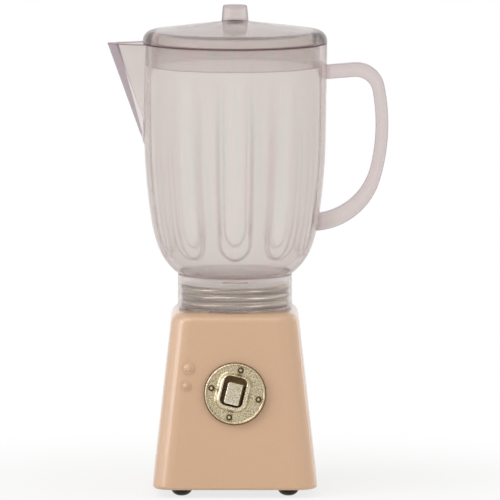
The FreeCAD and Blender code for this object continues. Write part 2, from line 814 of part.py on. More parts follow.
def jug_wall(body):
    """Wall, floor and neck skirt, turned from one section."""
    sketch = new_sketch(body, "jug_section", "XZ_Plane")
    corners, arcs, smooth = outer_wall()
    floor_top = "(floor_height + floor_thickness)"
    upper, middle, lower = bell_arcs(size("jug_ridge_wall"))
    meets_floor = on_arc(*lower[:2], math.asin((lower[0].y - size(floor_top)) / lower[1]))
    joints = [on_arc(*lower), on_arc(*middle), on_arc(*upper)]
    corners += [
        ("neck_radius", NECK_ROUNDING), (f"neck_radius - {NECK_ROUNDING}", "0"),
        ("neck_radius - neck_wall", "0"), ("neck_radius - neck_wall", "floor_height"),
        ("0", "floor_height"), ("0", floor_top), (meets_floor.x, floor_top),
        *((point.x, point.y) for point in joints),
        (f"{JUG_RADIUS} - jug_ridge_wall", "jug_height"),
    ]
    arcs[5] = (NECK_ROUNDING, "right")
    for side, name in ((11, "lower"), (12, "middle"), (13, "upper")):
        arcs[side] = (f"bell_{name}_radius - jug_ridge_wall", "left")
    sides = outline(sketch, corners, arcs, smooth + [12, 13, 14])
    centres = ((1, 13, "Coincident"), (2, 12, "Horizontal"), (3, 11, "Horizontal"))
    for outer, inner, kind in centres:
        sketch.addConstraint(Sketcher.Constraint(kind, sides[outer], 3, sides[inner], 3))
    return revolution(body, "jug_turn", sketch)


def flute_path(body):
    """Line of a flute's deepest points, which leaves the wall at both ends."""
    upper, middle, _ = bell_arcs(size("jug_flute_wall"))
    lean = upper[2]
    straight_end = on_arc(*upper)
    climb = size("flute_top_height") - straight_end.y
    top = straight_end + Vector(math.tan(lean), 1, 0) * climb
    top_centre = on_arc(top, -size("flute_top_runout"), lean)
    start_slope = lean - math.radians(size("flute_top_turn"))
    start = on_arc(top_centre, size("flute_top_runout"), start_slope)
    low_slope = math.asin((middle[0].y - size("flute_bottom_height")) / middle[1])
    low = on_arc(*middle[:2], low_slope)
    low_centre = on_arc(low, -size("flute_bottom_runout"), low_slope)
    end_slope = low_slope + math.radians(size("flute_bottom_turn"))
    end = on_arc(low_centre, size("flute_bottom_runout"), end_slope)
    bell_start = on_arc(*middle)
    corners = [
        (start.x, start.y), (top.x, "flute_top_height"), (straight_end.x, straight_end.y),
        (bell_start.x, bell_start.y), (low.x, "flute_bottom_height"), (end.x, end.y),
    ]
    arcs = {
        0: ("flute_top_runout", "right"), 2: ("bell_upper_radius - jug_flute_wall", "right"),
        3: ("bell_middle_radius - jug_flute_wall", "right"), 4: ("flute_bottom_runout", "right"),
    }
    path = new_sketch(body, "flute_path", "YZ_Plane")
    outline(path, corners, arcs, smooth=(1, 2, 3, 4), closed=False)
    return path, start, start_slope


def flute_ring():
    """Cutters for the shallow flutes round the inside of the wall, one facing the front."""
    body = new_body("flute_tool")
    path, start, slope = flute_path(body)
    section = new_sketch(body, "flute_section", "XY_Plane")
    section.AttachmentOffset = Placement(
        Vector(0, start.x, start.y), Rotation(Vector(1, 0, 0), -math.degrees(slope))
    )
    half = "sqrt(flute_chord_depth * (2 * flute_radius - flute_chord_depth))"
    corners = [(f"-{half}", "-flute_chord_depth"), (half, "-flute_chord_depth")]
    outline(section, corners, {1: ("flute_radius", "left")})
    flute = body.newObject("PartDesign::AdditivePipe", "flute")
    flute.Profile = section
    flute.Spine = path
    doc.recompute()
    # as splines the flute's near-straight stretch cuts cleanly from the wall's long arc
    cutter = body.Shape.toNurbs()
    copies = []
    for number in range(FLUTES):
        copies.append(cutter.copy())
        copies[-1].rotate(Vector(), Vector(0, 0, 1), 360 / FLUTES * number)
    ring = doc.addObject("Part::Feature", "flute_ring")
    ring.Shape = Part.makeCompound(copies)
    return ring


def beak_outline(sketch, reach, half_width, nose, seat):
    """V with a rounded nose towards -X, closed by an arc about the jug's axis."""
    r, w = size(nose), size(half_width)
    corner = Vector(-math.sqrt(size(seat) ** 2 - w**2), -w, 0)
    towards = Vector(r - size(reach), 0, 0) - corner
    run = math.sqrt(towards.Length**2 - r**2)
    angle = math.atan2(towards.y, towards.x) + math.asin(r / towards.Length)
    touch = corner + Vector(math.cos(angle), math.sin(angle), 0) * run
    corners = [
        (corner.x, f"-({half_width})"), (touch.x, touch.y), (touch.x, -touch.y),
        (corner.x, half_width),
    ]
    sides = outline(sketch, corners, {1: (nose, "right"), 3: (seat, "left")}, smooth=(1, 2))
    fix_point(sketch, sides[1], 3, "X", f"{nose} - ({reach})")
    fix_point(sketch, sides[1], 3, "Y", "0")
    sketch.addConstraint(Sketcher.Constraint("Coincident", sides[3], 3, -1, 1))


def beak(body, name, kind, mouth, foot_end, foot_height):
    """Straight loft from the rim down to the place where the nose meets the wall."""
    upper = new_sketch(body, f"{name}_mouth", "XY_Plane", "jug_height")
    beak_outline(upper, *mouth)
    lower = new_sketch(body, f"{name}_foot", "XY_Plane", foot_height)
    beak_outline(lower, *foot_end)
    return loft(body, name, kind, lower, upper)


def jug():
    """Wall with its neck, the beak spout grown from it and the flutes cut into it."""
    body = new_body("jug_blank")
    jug_wall(body)
    fall = "((spout_reach - jug_straight_radius) / spout_drop * spout_foot_half_width)"
    channel_foot = "(jug_height - spout_drop)"
    spout_foot = f"({channel_foot} - spout_foot_half_width)"
    rim_seat, wall_seat = f"({JUG_RADIUS} - jug_ridge_wall", "(jug_straight_radius - jug_ridge_wall"
    beak(body, "spout", "Additive",
         ("spout_reach", "spout_half_width", "spout_nose_radius", f"{rim_seat} / 2)"),
         (f"jug_straight_radius - {fall}", "spout_foot_half_width", "spout_foot_nose_radius",
          f"{wall_seat} / 2)"), spout_foot)
    beak(body, "spout_channel", "Subtractive",
         ("spout_reach - spout_nose_wall", "spout_half_width - spout_wall",
          "channel_nose_radius", f"{rim_seat} * 2)"),
         ("jug_straight_radius - spout_nose_wall", "channel_foot_half_width",
          "channel_foot_nose_radius", f"{wall_seat} * 2)"), channel_foot)
    return lift(cut("jug", body, flute_ring()), BASE_TOP)


def jug_envelope():
    """Solid form of the jug's outside, which the handle's feet are shaped to."""
    body = new_body("jug_envelope")
    sketch = new_sketch(body, "envelope_section", "XZ_Plane")
    corners, arcs, smooth = outer_wall()
    neck = corners[-1][1]
    corners += [("0", neck), ("0", "jug_height")]
    outline(sketch, corners, arcs, smooth)
    revolution(body, "envelope_turn", sketch)
    return body


def corner_radius(start, end, centre, bend):
    """Radius of the arc that leaves a line at its end and runs into a larger circle."""
    along = (end - start).normalize()
    inwards = Vector(along.y, -along.x, 0)
    gap = end - centre
    return (bend**2 - gap.Length**2) / (2 * (bend + inwards.dot(gap))), inwards


def handle_edge(thickness_top, bend, elbow_height, elbow_bend):
    """Corners of one edge of the handle, from its top end down to its foot."""
    centre = Vector(size(HANDLE_CENTRE), size("handle_reach_height"), 0)
    top = f"jug_height - handle_drop - {thickness_top}"
    start = (f"{JUG_RADIUS} - jug_ridge_wall", top)
    turn = (f"{JUG_RADIUS} + handle_top_run", f"{top} + handle_top_rise")
    ends = [Vector(size(x), size(y), 0) for x, y in (start, turn)]
    r, inwards = corner_radius(*ends, centre, size(bend))
    outer = ((ends[1] + inwards * r) - centre).normalize()
    back_start = centre + outer * size(bend)
    slope = math.asin((centre.y - size(elbow_height)) / size(bend))
    elbow = on_arc(centre, size(bend), slope)
    elbow_centre = on_arc(elbow, -size(elbow_bend), slope)
    end_slope = math.acos((size("handle_foot_reach") - elbow_centre.x) / size(elbow_bend))
    end = on_arc(elbow_centre, size(elbow_bend), end_slope)
    corners = [start, turn, (back_start.x, back_start.y), (elbow.x, elbow_height),
               ("handle_foot_reach", end.y)]
    return corners, [r, bend, elbow_bend]


def jug_handle():
    """Flat loop with rounded edges, its two feet shaped to the jug's wall."""
    body = new_body("handle_blank")
    sketch = new_sketch(body, "handle_outline", "XZ_Plane")
    outer, outer_arcs = handle_edge("0", "handle_back_radius", "handle_elbow_height",
                                    "handle_elbow_radius")
    inner, inner_arcs = handle_edge("handle_top_thickness",
                                    "(handle_back_radius - handle_back_thickness)",
                                    "handle_elbow_height + handle_inner_elbow_lift",
                                    "handle_inner_elbow_radius")
    arcs = {side: (bend, "right") for side, bend in enumerate(outer_arcs, start=1)}
    arcs.update({side: (bend, "left") for side, bend in enumerate(reversed(inner_arcs), start=5)})
    sides = outline(sketch, outer + inner[::-1], arcs, smooth=(1, 2, 3, 6, 7, 8))
    fix_point(sketch, sides[2], 3, "X", HANDLE_CENTRE)
    fix_point(sketch, sides[2], 3, "Y", "handle_reach_height")
    sketch.addConstraint(Sketcher.Constraint("Coincident", sides[2], 3, sides[6], 3))
    blank = pad(body, "handle_pad", sketch, "handle_depth")
    blank.SideType = "Symmetric"
    side_face = size("handle_depth") / 2
    fillet(body, "handle_rounding", "handle_edge_rounding",
           lambda edge: edge.BoundBox.YLength < 1e-4 and edge.BoundBox.XLength > 1e-4
           and abs(abs(edge.BoundBox.YMin) - side_face) < 1e-4)
    return lift(cut("jug_handle", body, jug_envelope()), BASE_TOP)


# ---------------------------------------------------------------- lid


def lid():
    """Shallow cone with a rounded shoulder on the jug's rim and a skirt inside it."""
    run = size(f"{JUG_RADIUS} - lid_shoulder_radius")
    slope = math.radians(size(LID_SLOPE))
    shoulder = Vector(run, size("lid_edge_height"), 0) + Vector(
        math.sin(slope), math.cos(slope), 0) * size("lid_shoulder_radius")
    inner = f"({LID_SKIRT_RADIUS} - lid_skirt_wall)"
    crown = "lid_crown_height"
    corners = [
        ("spigot_radius", f"{crown} - lid_thickness"),
        (inner, f"{crown} - lid_thickness - ({inner} - spigot_radius) * tan({LID_SLOPE})"),
        (inner, "-lid_skirt_length"), (LID_SKIRT_RADIUS, "-lid_skirt_length"),
        (LID_SKIRT_RADIUS, "0"), (JUG_RADIUS, "0"), (JUG_RADIUS, "lid_edge_height"),
        (shoulder.x, shoulder.y), ("spigot_radius", crown),
    ]
    body = turned("lid", corners, {6: ("lid_shoulder_radius", "left")}, smooth=(6, 7))
    return lift(body, JUG_RIM)


def lid_knob():
    """Tapered knob that sits on the lid's cone, with a spigot down through its centre."""
    crown, top = "lid_crown_height", "(lid_crown_height + knob_height)"
    corners = [
        ("0", f"{crown} - spigot_length"), ("spigot_radius", f"{crown} - spigot_length"),
        ("spigot_radius", crown),
        ("knob_radius", f"{crown} - (knob_radius - spigot_radius) * tan({LID_SLOPE})"),
        ("knob_top_radius", f"{top} - knob_rounding"), ("knob_top_radius - knob_rounding", top),
        ("0", top),
    ]
    return lift(turned("lid_knob", corners, {4: ("knob_rounding", "left")}), JUG_RIM)


# ---------------------------------------------------------------- the whole part


def check_document():
    """Stops on any object that failed to build."""
    for item in doc.Objects:
        if {"Invalid", "Error"} & set(item.State):
            raise RuntimeError(f"{item.Name} failed: {item.State}")


def export(nodes):
    os.makedirs("parts", exist_ok=True)
    for node in nodes:
        if node.Shape.isNull() or not node.Shape.isValid():
            raise RuntimeError(f"{node.Label} has no valid shape")
    for node in nodes:
        node.Shape.exportStep(f"parts/{node.Label}.step")
        box = node.Shape.BoundBox
        print(f"{node.Label}: {len(node.Shape.Solids)} solid, {node.Shape.Volume:.2f} mm3, "
              f"z {box.ZMin:.2f} to {box.ZMax:.2f}")


def main():
    fill_sheet()
    nodes = [base_housing(), base_plate()]
    nodes += [foot(name, *centre) for name, centre in foot_centres().items()]
    nodes += [jug_collar(), collar_screw(), collar_washer(), collar_nut()]
    nodes += [dial_plate(), dial_rivets(), dial_grip(), dial_spring_washer(), dial_retainer()]
    nodes += [indicator_stud("upper"), indicator_stud("lower"), stud_retainers()]
    nodes += [jug(), jug_handle(), lid(), lid_knob()]
    doc.recompute()
    check_document()
    export(nodes)


main()
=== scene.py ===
# %% [markdown]
# # A toy blender in clear plastic and peach enamel
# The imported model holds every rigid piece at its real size, in metres, with Z up, the dial
# towards -Y, the spout towards -X and the handle towards +X. This script dresses those
# pieces: it gives each one the finish of the real toy, and remakes a few small pieces whose
# look depends on detail. Lengths are in metres, so a millimetre has a name of its own.

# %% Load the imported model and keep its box
import json
import math

import bmesh
import bpy
from mathutils import Matrix, Vector


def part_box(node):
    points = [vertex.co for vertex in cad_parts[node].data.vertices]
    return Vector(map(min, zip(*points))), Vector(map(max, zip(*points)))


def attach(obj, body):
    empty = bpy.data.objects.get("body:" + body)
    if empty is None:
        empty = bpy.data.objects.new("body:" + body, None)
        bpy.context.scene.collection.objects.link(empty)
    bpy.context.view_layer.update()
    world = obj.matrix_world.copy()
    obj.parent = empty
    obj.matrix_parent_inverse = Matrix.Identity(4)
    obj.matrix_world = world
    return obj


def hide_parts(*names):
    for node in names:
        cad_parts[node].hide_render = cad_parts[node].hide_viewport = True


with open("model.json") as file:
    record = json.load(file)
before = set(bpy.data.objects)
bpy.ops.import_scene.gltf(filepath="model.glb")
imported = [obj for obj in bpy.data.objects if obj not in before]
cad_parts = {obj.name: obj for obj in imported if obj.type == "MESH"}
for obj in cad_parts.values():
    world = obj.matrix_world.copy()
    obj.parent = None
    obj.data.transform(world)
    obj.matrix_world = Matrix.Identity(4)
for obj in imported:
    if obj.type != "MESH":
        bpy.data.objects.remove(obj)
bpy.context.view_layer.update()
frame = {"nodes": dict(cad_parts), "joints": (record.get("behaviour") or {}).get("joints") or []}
nodes = frame["nodes"]
MM = 0.001

# %% [markdown]
# ## Helpers
# Colours are written as the hex values that a paint chart would show. Blender works in linear
# light, so one function turns them. Another function adds a shader or geometry node together
# with its settings and links, which keeps each material short enough to read as a recipe.
# A Mix node has sockets of one name for numbers and for colours, so they are told by place.

# %% Colours
def linear(colour):
    """Linear RGBA of an sRGB hex colour such as "D8B090"."""
    parts = [int(colour[i:i + 2], 16) / 255 for i in (0, 2, 4)]
    return (*[c / 12.92 if c <= 0.04045 else ((c + 0.055) / 1.055) ** 2.4 for c in parts], 1.0)


PAPER_WHITE = "F4F2EE"
print("the paper's white in linear light:", [round(value, 3) for value in linear(PAPER_WHITE)])

# %% Nodes
# places of a Mix node's sockets, and of the output for a mixed colour
NUMBER_A, NUMBER_B = 2, 3
COLOUR_A, COLOUR_B, MIXED_COLOUR = 6, 7, 2


def add(tree, kind, inputs=None, **settings):
    """New node with its settings; inputs maps a socket to a value or to another node's output."""
    node = tree.nodes.new(kind)
    for name, value in settings.items():
        setattr(node, name, value)
    for socket, value in (inputs or {}).items():
        if isinstance(value, bpy.types.NodeSocket):
            tree.links.new(value, node.inputs[socket])
        else:
            node.inputs[socket].default_value = value
    return node


def finish_named(name):
    """Empty material with its node tree, its shader and the object's own coordinates."""
    material = bpy.data.materials.new(name)
    material.use_nodes = True
    tree = material.node_tree
    tree.nodes.clear()
    shader = add(tree, "ShaderNodeBsdfPrincipled")
    add(tree, "ShaderNodeOutputMaterial", {"Surface": shader.outputs["BSDF"]})
    place = add(tree, "ShaderNodeTexCoord").outputs["Object"]
    return material, tree, shader, place


def from_axis(tree, place):
    """Distance of a point from the toy's upright axis, in metres."""
    flat_place = add(tree, "ShaderNodeVectorMath", {0: place, 1: (1, 1, 0)}, operation="MULTIPLY")
    return add(tree, "ShaderNodeVectorMath", {0: flat_place.outputs[0]},
               operation="LENGTH").outputs["Value"]


print("a Mix node's colours go in at", COLOUR_A, "and", COLOUR_B)

# %% Pieces
def put(name, data):
    """New object of the scene that holds a mesh, a lamp or a camera."""
    thing = bpy.data.objects.new(name, data)
    bpy.context.scene.collection.objects.link(thing)
    return thing


def dress(names, finish):
    """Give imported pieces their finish, and say so."""
    for name in names:
        nodes[name].material_slots[0].material = finish
    print(finish.name, "on", len(names), "pieces")


print("to dress:", ", ".join(sorted(nodes)))

# %% [markdown]
# ## Camera
# The toy is 9 cm tall and is seen from 2 m away with a long lens, from a little above: the
# rim of the jug shows as a thin ellipse, and upright lines hardly converge. The lens follows
# from how many pixels a millimetre of the toy takes, so it is worked out and not chosen. The
# lens is shifted sideways, because the handle reaches further out than the spout.

# %% Camera
PICTURE_PIXELS = 500
PIXELS_PER_MM = 5.40
AXIS_LEFT_OF_CENTRE_PIXELS = 15
camera_place = Vector((0, -2.0, 0.247))
camera_aim = Vector((0, 0, 0.0445))
camera_data = bpy.data.cameras.new("camera")
camera_data.sensor_width = 36
distance_mm = (camera_aim - camera_place).length / MM
camera_data.lens = PIXELS_PER_MM * distance_mm * camera_data.sensor_width / PICTURE_PIXELS
camera_data.shift_x = AXIS_LEFT_OF_CENTRE_PIXELS / PICTURE_PIXELS
camera_data.clip_start = 0.05
camera = put("camera", camera_data)
camera.location = camera_place
camera.rotation_euler = (camera_aim - camera_place).to_track_quat("-Z", "Y").to_euler()
bpy.context.scene.camera = camera
bpy.context.scene.view_settings.view_transform = "Standard"
print("lens", round(camera_data.lens), "mm")

# %% [markdown]
# ## Light tent
# A white tent gives soft light from everywhere. Its walls show as full white to the lens and
# through clear plastic, while the light that they shed stays moderate, so colours keep their
# depth. Its opening, in front and to the right, is dimmer in mirrors, as the room behind a
# lens is, and that gives metal its contrast. Light Path nodes tell such rays apart.

# %% The tent's walls
TENT_LIGHT = 0.36
OPENING = Vector((0.5, -0.85, -0.15)).normalized()
OPENING_LIGHT = 0.55
# cosines of the angle to the opening's middle, where it begins and where it is at its dimmest
OPENING_RIM, OPENING_HEART = 0.1, 0.9


def seen(tree):
    """1 for rays that look at a surface directly, in a mirror or through clear plastic."""
    rays = add(tree, "ShaderNodeLightPath").outputs
    direct = add(tree, "ShaderNodeMath", {0: rays["Is Camera Ray"], 1: rays["Is Glossy Ray"]},
                 operation="MAXIMUM")
    return add(tree, "ShaderNodeMath", {0: direct.outputs[0], 1: rays["Is Transmission Ray"]},
               operation="MAXIMUM").outputs[0]


world = bpy.data.worlds.new("white_tent")
world.use_nodes = True
bpy.context.scene.world = world
tree = world.node_tree
tree.nodes.clear()
direction = add(tree, "ShaderNodeTexCoord").outputs["Generated"]
towards = add(tree, "ShaderNodeVectorMath", {0: direction, 1: OPENING}, operation="DOT_PRODUCT")
opening = add(tree, "ShaderNodeMapRange",
              {"Value": towards.outputs["Value"], "From Min": OPENING_RIM,
               "From Max": OPENING_HEART, "To Min": 1.0, "To Max": OPENING_LIGHT},
              interpolation_type="SMOOTHSTEP")
rays = add(tree, "ShaderNodeLightPath").outputs
in_mirrors = add(tree, "ShaderNodeMath", {0: rays["Is Glossy Ray"], 1: rays["Is Transmission Ray"]},
                 operation="SUBTRACT", use_clamp=True)
mirrored = add(tree, "ShaderNodeMix", {"Factor": in_mirrors.outputs[0], NUMBER_A: 1.0,
                                       NUMBER_B: opening.outputs["Result"]})
strength = add(tree, "ShaderNodeMapRange", {"Value": seen(tree), "To Min": TENT_LIGHT,
                                            "To Max": mirrored.outputs[0]})
background = add(tree, "ShaderNodeBackground", {"Color": (1, 1, 1, 1),
                                                "Strength": strength.outputs["Result"]})
add(tree, "ShaderNodeOutputWorld", {"Surface": background.outputs["Background"]})
print("the tent sheds", TENT_LIGHT, "of the light that it shows")

# %% [markdown]
# ## Paper
# The toy stands on matt paper, which has to catch its shadow and yet run into the white tent
# with no horizon. So the paper is real paper near the toy, and mixes into a glow of the
# tent's own white further out. The glow is for the eye alone and lights nothing.

# %% The paper
FLOOR_HALF = 6.0
SHADOW_RADIUS, WHITE_RADIUS = 20 * MM, 100 * MM
NEAR_GLOW = 0.78
mesh = bpy.data.meshes.new("floor")
corners = [(-FLOOR_HALF, -FLOOR_HALF, 0), (FLOOR_HALF, -FLOOR_HALF, 0),
           (FLOOR_HALF, FLOOR_HALF, 0), (-FLOOR_HALF, FLOOR_HALF, 0)]
mesh.from_pydata(corners, [], [(0, 1, 2, 3)])
floor = put("floor", mesh)
paper = bpy.data.materials.new("matt_white_paper")
paper.use_nodes = True
tree = paper.node_tree
tree.nodes.clear()
lit = add(tree, "ShaderNodeBsdfDiffuse", {"Color": linear(PAPER_WHITE)})
glow = add(tree, "ShaderNodeEmission", {"Color": (1, 1, 1, 1), "Strength": 1.0})
place = add(tree, "ShaderNodeTexCoord").outputs["Object"]
away = add(tree, "ShaderNodeVectorMath", {0: place}, operation="LENGTH")
whiteness = add(tree, "ShaderNodeMapRange",
                {"Value": away.outputs["Value"], "From Min": SHADOW_RADIUS,
                 "From Max": WHITE_RADIUS, "To Min": NEAR_GLOW, "To Max": 1.0},
                interpolation_type="SMOOTHSTEP")
share = add(tree, "ShaderNodeMath", {0: seen(tree), 1: whiteness.outputs["Result"]},
            operation="MULTIPLY")
both = add(tree, "ShaderNodeMixShader", {0: share.outputs[0], 1: lit.outputs[0],
                                         2: glow.outputs[0]})
add(tree, "ShaderNodeOutputMaterial", {"Surface": both.outputs[0]})
mesh.materials.append(paper)
print("the paper is", 2 * FLOOR_HALF, "m wide")

# %% [markdown]
# ## Softboxes
# Inside the tent a big window stands high in front. A tall panel and a weaker one on the
# left draw the long highlight down the enamel's rounded corner and over the dial's bezel,
# and a weak one behind on the right edges the base. Two white cards on the right fill the
# shaded side, but stay out of mirrors, where a second bright shape would confuse the metal.

# %% Softboxes
def softbox(name, place, aim, width, height, watts):
    """Rectangular lamp that faces a point of the toy."""
    data = bpy.data.lights.new(name, "AREA")
    data.shape = "RECTANGLE"
    data.size = width
    data.size_y = height
    data.energy = watts
    lamp = put(name, data)
    lamp.location = place
    lamp.rotation_euler = (Vector(aim) - Vector(place)).to_track_quat("-Z", "Y").to_euler()
    return lamp


MIDDLE = (0, 0, 45 * MM)
UPPER_BASE = (0, 0, 30 * MM)
softbox("window_softbox", (-0.29, -0.42, 0.66), MIDDLE, width=0.58, height=0.45, watts=1.95)
softbox("key_panel", (-0.78, -0.42, 0.37), MIDDLE, width=0.42, height=0.50, watts=2.8)
softbox("side_panel", (-0.72, 0.00, 0.16), UPPER_BASE, width=0.40, height=0.45, watts=0.4)
softbox("rim_softbox", (0.60, 0.55, 0.25), MIDDLE, width=0.25, height=0.55, watts=0.6)
cards = (softbox("white_card", (0.78, 0.05, 0.20), MIDDLE, width=0.80, height=0.60, watts=1.2),
         softbox("fill_card", (0.62, -0.60, 0.25), MIDDLE, width=0.55, height=0.55, watts=2.2))
for card in cards:
    card.visible_glossy = False

# %% [markdown]
# ## Clear plastic
# The jug, its handle, the lid and the knob are injection-moulded polystyrene. Its IOR is
# 1.59, but a thin wall bends light only where it is curved, and this one is so evenly lit
# that a lower value comes nearer to it. Years of handling have left a fine haze, so about
# a tenth of the light scatters at each surface. That is why two walls look much like one.
# The resin itself is a faint smoky rose, which a volume gives, so that thick places such as
# the handle are darker.

# %% Clear plastic: haze, tint and gloss
HAZE_MM = 2.5
SMOKY_ROSE = "CFB9B5"
WALL_DENSITY = 110.0
clear_plastic, tree, shader, place = finish_named("moulded_clear_polystyrene")
shader.inputs["Transmission Weight"].default_value = 0.90
shader.inputs["IOR"].default_value = 1.08
shader.inputs["Coat Weight"].default_value = 0.18
shader.inputs["Coat Roughness"].default_value = 0.08
haze = add(tree, "ShaderNodeTexNoise", {"Vector": place, "Scale": 1 / (HAZE_MM * MM), "Detail": 4.0})
gloss = add(tree, "ShaderNodeMapRange", {"Value": haze.outputs[0], "From Min": 0.35,
                                         "From Max": 0.75, "To Min": 0.13, "To Max": 0.21})
tree.links.new(gloss.outputs[0], shader.inputs["Roughness"])
tint = add(tree, "ShaderNodeVolumeAbsorption",
           {"Color": linear(SMOKY_ROSE), "Density": WALL_DENSITY}, name="tint")
output = next(node for node in tree.nodes if node.type == "OUTPUT_MATERIAL")
tree.links.new(tint.outputs[0], output.inputs["Volume"])
print("haze in patches of", HAZE_MM, "mm")

# %% [markdown]
# ## Flow lines and sink marks
# Moulding leaves upright flow lines about a millimetre apart and very soft sink marks. The
# lines are a noise that is read round the jug and along its height, where it is stretched.
# They bend the surface a little, and tint it a touch greener or rosier.

# %% Clear plastic: flow lines and sink marks
JUG_RADIUS_MM = 17.0
FLOW_LINE_MM, FLOW_LENGTH_MM = 1.1, 25
SINK_MARK_MM = 9
GREENISH_CLEAR, ROSY_CLEAR = "EDEEEA", "F2ECEC"
xyz = add(tree, "ShaderNodeSeparateXYZ", {0: place}).outputs
angle = add(tree, "ShaderNodeMath", {0: xyz["Y"], 1: xyz["X"]}, operation="ARCTAN2")
across = add(tree, "ShaderNodeMath", {0: angle.outputs[0], 1: JUG_RADIUS_MM / FLOW_LINE_MM},
             operation="MULTIPLY")
along = add(tree, "ShaderNodeMath", {0: xyz["Z"], 1: 1 / (FLOW_LENGTH_MM * MM)},
            operation="MULTIPLY")
flow_place = add(tree, "ShaderNodeCombineXYZ", {0: across.outputs[0], 1: along.outputs[0]})
flow = add(tree, "ShaderNodeTexNoise", {"Vector": flow_place.outputs[0], "Scale": 1.0,
                                        "Detail": 2.0})
sink = add(tree, "ShaderNodeTexNoise", {"Vector": place, "Scale": 1 / (SINK_MARK_MM * MM),
                                        "Detail": 1.0})
flow_bump = add(tree, "ShaderNodeBump", {"Strength": 0.25, "Distance": 0.05 * MM,
                                         "Height": flow.outputs[0]})
sink_bump = add(tree, "ShaderNodeBump", {"Strength": 0.25, "Distance": 0.15 * MM,
                                         "Height": sink.outputs[0],
                                         "Normal": flow_bump.outputs[0]})
tree.links.new(sink_bump.outputs[0], shader.inputs["Normal"])
streak = add(tree, "ShaderNodeMapRange", {"Value": flow.outputs[0], "From Min": 0.35,
                                          "From Max": 0.65})
streaked = add(tree, "ShaderNodeMix",
               {"Factor": streak.outputs[0], COLOUR_A: linear(GREENISH_CLEAR),
                COLOUR_B: linear(ROSY_CLEAR)}, data_type="RGBA")
print("flow lines", FLOW_LINE_MM, "mm apart")

# %% [markdown]
# ## Flutes
# Each flute is a shallow groove in the wall with a rounded foot, and its edge bends light
# away, so it shows as a soft dark line. The line follows a formula: the angle is folded into
# one flute's share of the circle, and below the foot's centre the distance is taken to that
# centre, which rounds the line into a U. It fades towards the top, where the flute runs out.

# %% Clear plastic: the flutes' edges
FLUTE_COUNT = 10
FLUTE_WALL_RADIUS, FLUTE_HALF_WIDTH = 15.5 * MM, 3.1 * MM
FLUTE_FOOT_CENTRE = 47.0 * MM
FLUTE_LINE = 0.5 * MM
FLUTE_SHADE = "D2C8C6"
to_front = add(tree, "ShaderNodeMath", {0: angle.outputs[0], 1: math.pi / 2}, operation="ADD")
from_flute = add(tree, "ShaderNodeMath", {0: to_front.outputs[0], 1: math.pi / FLUTE_COUNT,
                                          2: -math.pi / FLUTE_COUNT}, operation="WRAP")
sideways = add(tree, "ShaderNodeMath", {0: from_flute.outputs[0], 1: FLUTE_WALL_RADIUS},
               operation="MULTIPLY")
below = add(tree, "ShaderNodeMath", {0: FLUTE_FOOT_CENTRE, 1: xyz["Z"]},
            operation="SUBTRACT", use_clamp=True)
offset = add(tree, "ShaderNodeCombineXYZ", {0: sideways.outputs[0], 1: below.outputs[0]})
away = add(tree, "ShaderNodeVectorMath", {0: offset.outputs[0]}, operation="LENGTH")
flute_edge = add(tree, "ShaderNodeMath", {0: away.outputs["Value"], 1: -FLUTE_HALF_WIDTH},
                 operation="ADD")
line_off = add(tree, "ShaderNodeMath", {0: flute_edge.outputs[0]}, operation="ABSOLUTE")
flute_line = add(tree, "ShaderNodeMapRange",
                 {"Value": line_off.outputs[0], "From Max": FLUTE_LINE, "To Min": 1.0,
                  "To Max": 0.0}, interpolation_type="SMOOTHSTEP")
print(FLUTE_COUNT, "flutes,", round(2 * FLUTE_HALF_WIDTH / MM, 1), "mm wide")

# %% Clear plastic: where the flutes show
FOOT_DARKEST, FOOT_PALER = 45.5 * MM, 52 * MM
FADE_START, FADE_END = 60 * MM, 74 * MM
foot = add(tree, "ShaderNodeMapRange", {"Value": xyz["Z"], "From Min": FOOT_DARKEST,
                                        "From Max": FOOT_PALER, "To Min": 1.0, "To Max": 0.4})
head = add(tree, "ShaderNodeMapRange", {"Value": xyz["Z"], "From Min": FADE_START,
                                        "From Max": FADE_END, "To Min": 1.0, "To Max": 0.0})
along_flute = add(tree, "ShaderNodeMath", {0: foot.outputs[0], 1: head.outputs[0]},
                  operation="MULTIPLY")
shade = add(tree, "ShaderNodeMath", {0: flute_line.outputs[0], 1: along_flute.outputs[0]},
            operation="MULTIPLY")
fluted = add(tree, "ShaderNodeMix",
             {"Factor": shade.outputs[0], COLOUR_A: streaked.outputs[MIXED_COLOUR],
              COLOUR_B: linear(FLUTE_SHADE)}, data_type="RGBA")
print("the flutes' lines fade from", round(FADE_START / MM), "to", round(FADE_END / MM), "mm up")

# %% [markdown]
# ## Nose, edges and outlines
# The beak's nose is a solid rib, which lets less light through, so it is painted darker than
# the wall: painted shade. It leans, so its place is told by the distance along a direction
# square to it. Edges are painted darker too, as painted shade where light takes the long way
# through the wall: Layer Weight finds faces that are seen on edge, and ambient occlusion that
# looks inwards finds corners, where the other side is close.

# %% Clear plastic: the spout's nose
NOSE_TOP, NOSE_FOOT = Vector((-21.6, 0, 83.2)) * MM, Vector((-16.8, 0, 65.5)) * MM
NOSE_DEEP, NOSE_SOFT = 0.12 * MM, 0.05 * MM
# painted shade on the nose, for the light that the thick rib holds back
NOSE_MAUVE = "BFB4BA"
down_nose = (NOSE_FOOT - NOSE_TOP).normalized()
inward = Vector((-down_nose.z, 0, down_nose.x))
nose_line = inward.dot(NOSE_TOP)
from_nose = add(tree, "ShaderNodeVectorMath", {0: place, 1: inward}, operation="DOT_PRODUCT")
nose = add(tree, "ShaderNodeMapRange",
           {"Value": from_nose.outputs["Value"], "From Min": nose_line - NOSE_DEEP,
            "From Max": nose_line + NOSE_SOFT, "To Min": 1.0, "To Max": 0.0})
above_foot = add(tree, "ShaderNodeMapRange", {"Value": xyz["Z"], "From Min": NOSE_FOOT.z,
                                              "From Max": NOSE_FOOT.z + MM})
on_nose = add(tree, "ShaderNodeMath", {0: nose.outputs[0], 1: above_foot.outputs[0]},
              operation="MULTIPLY")
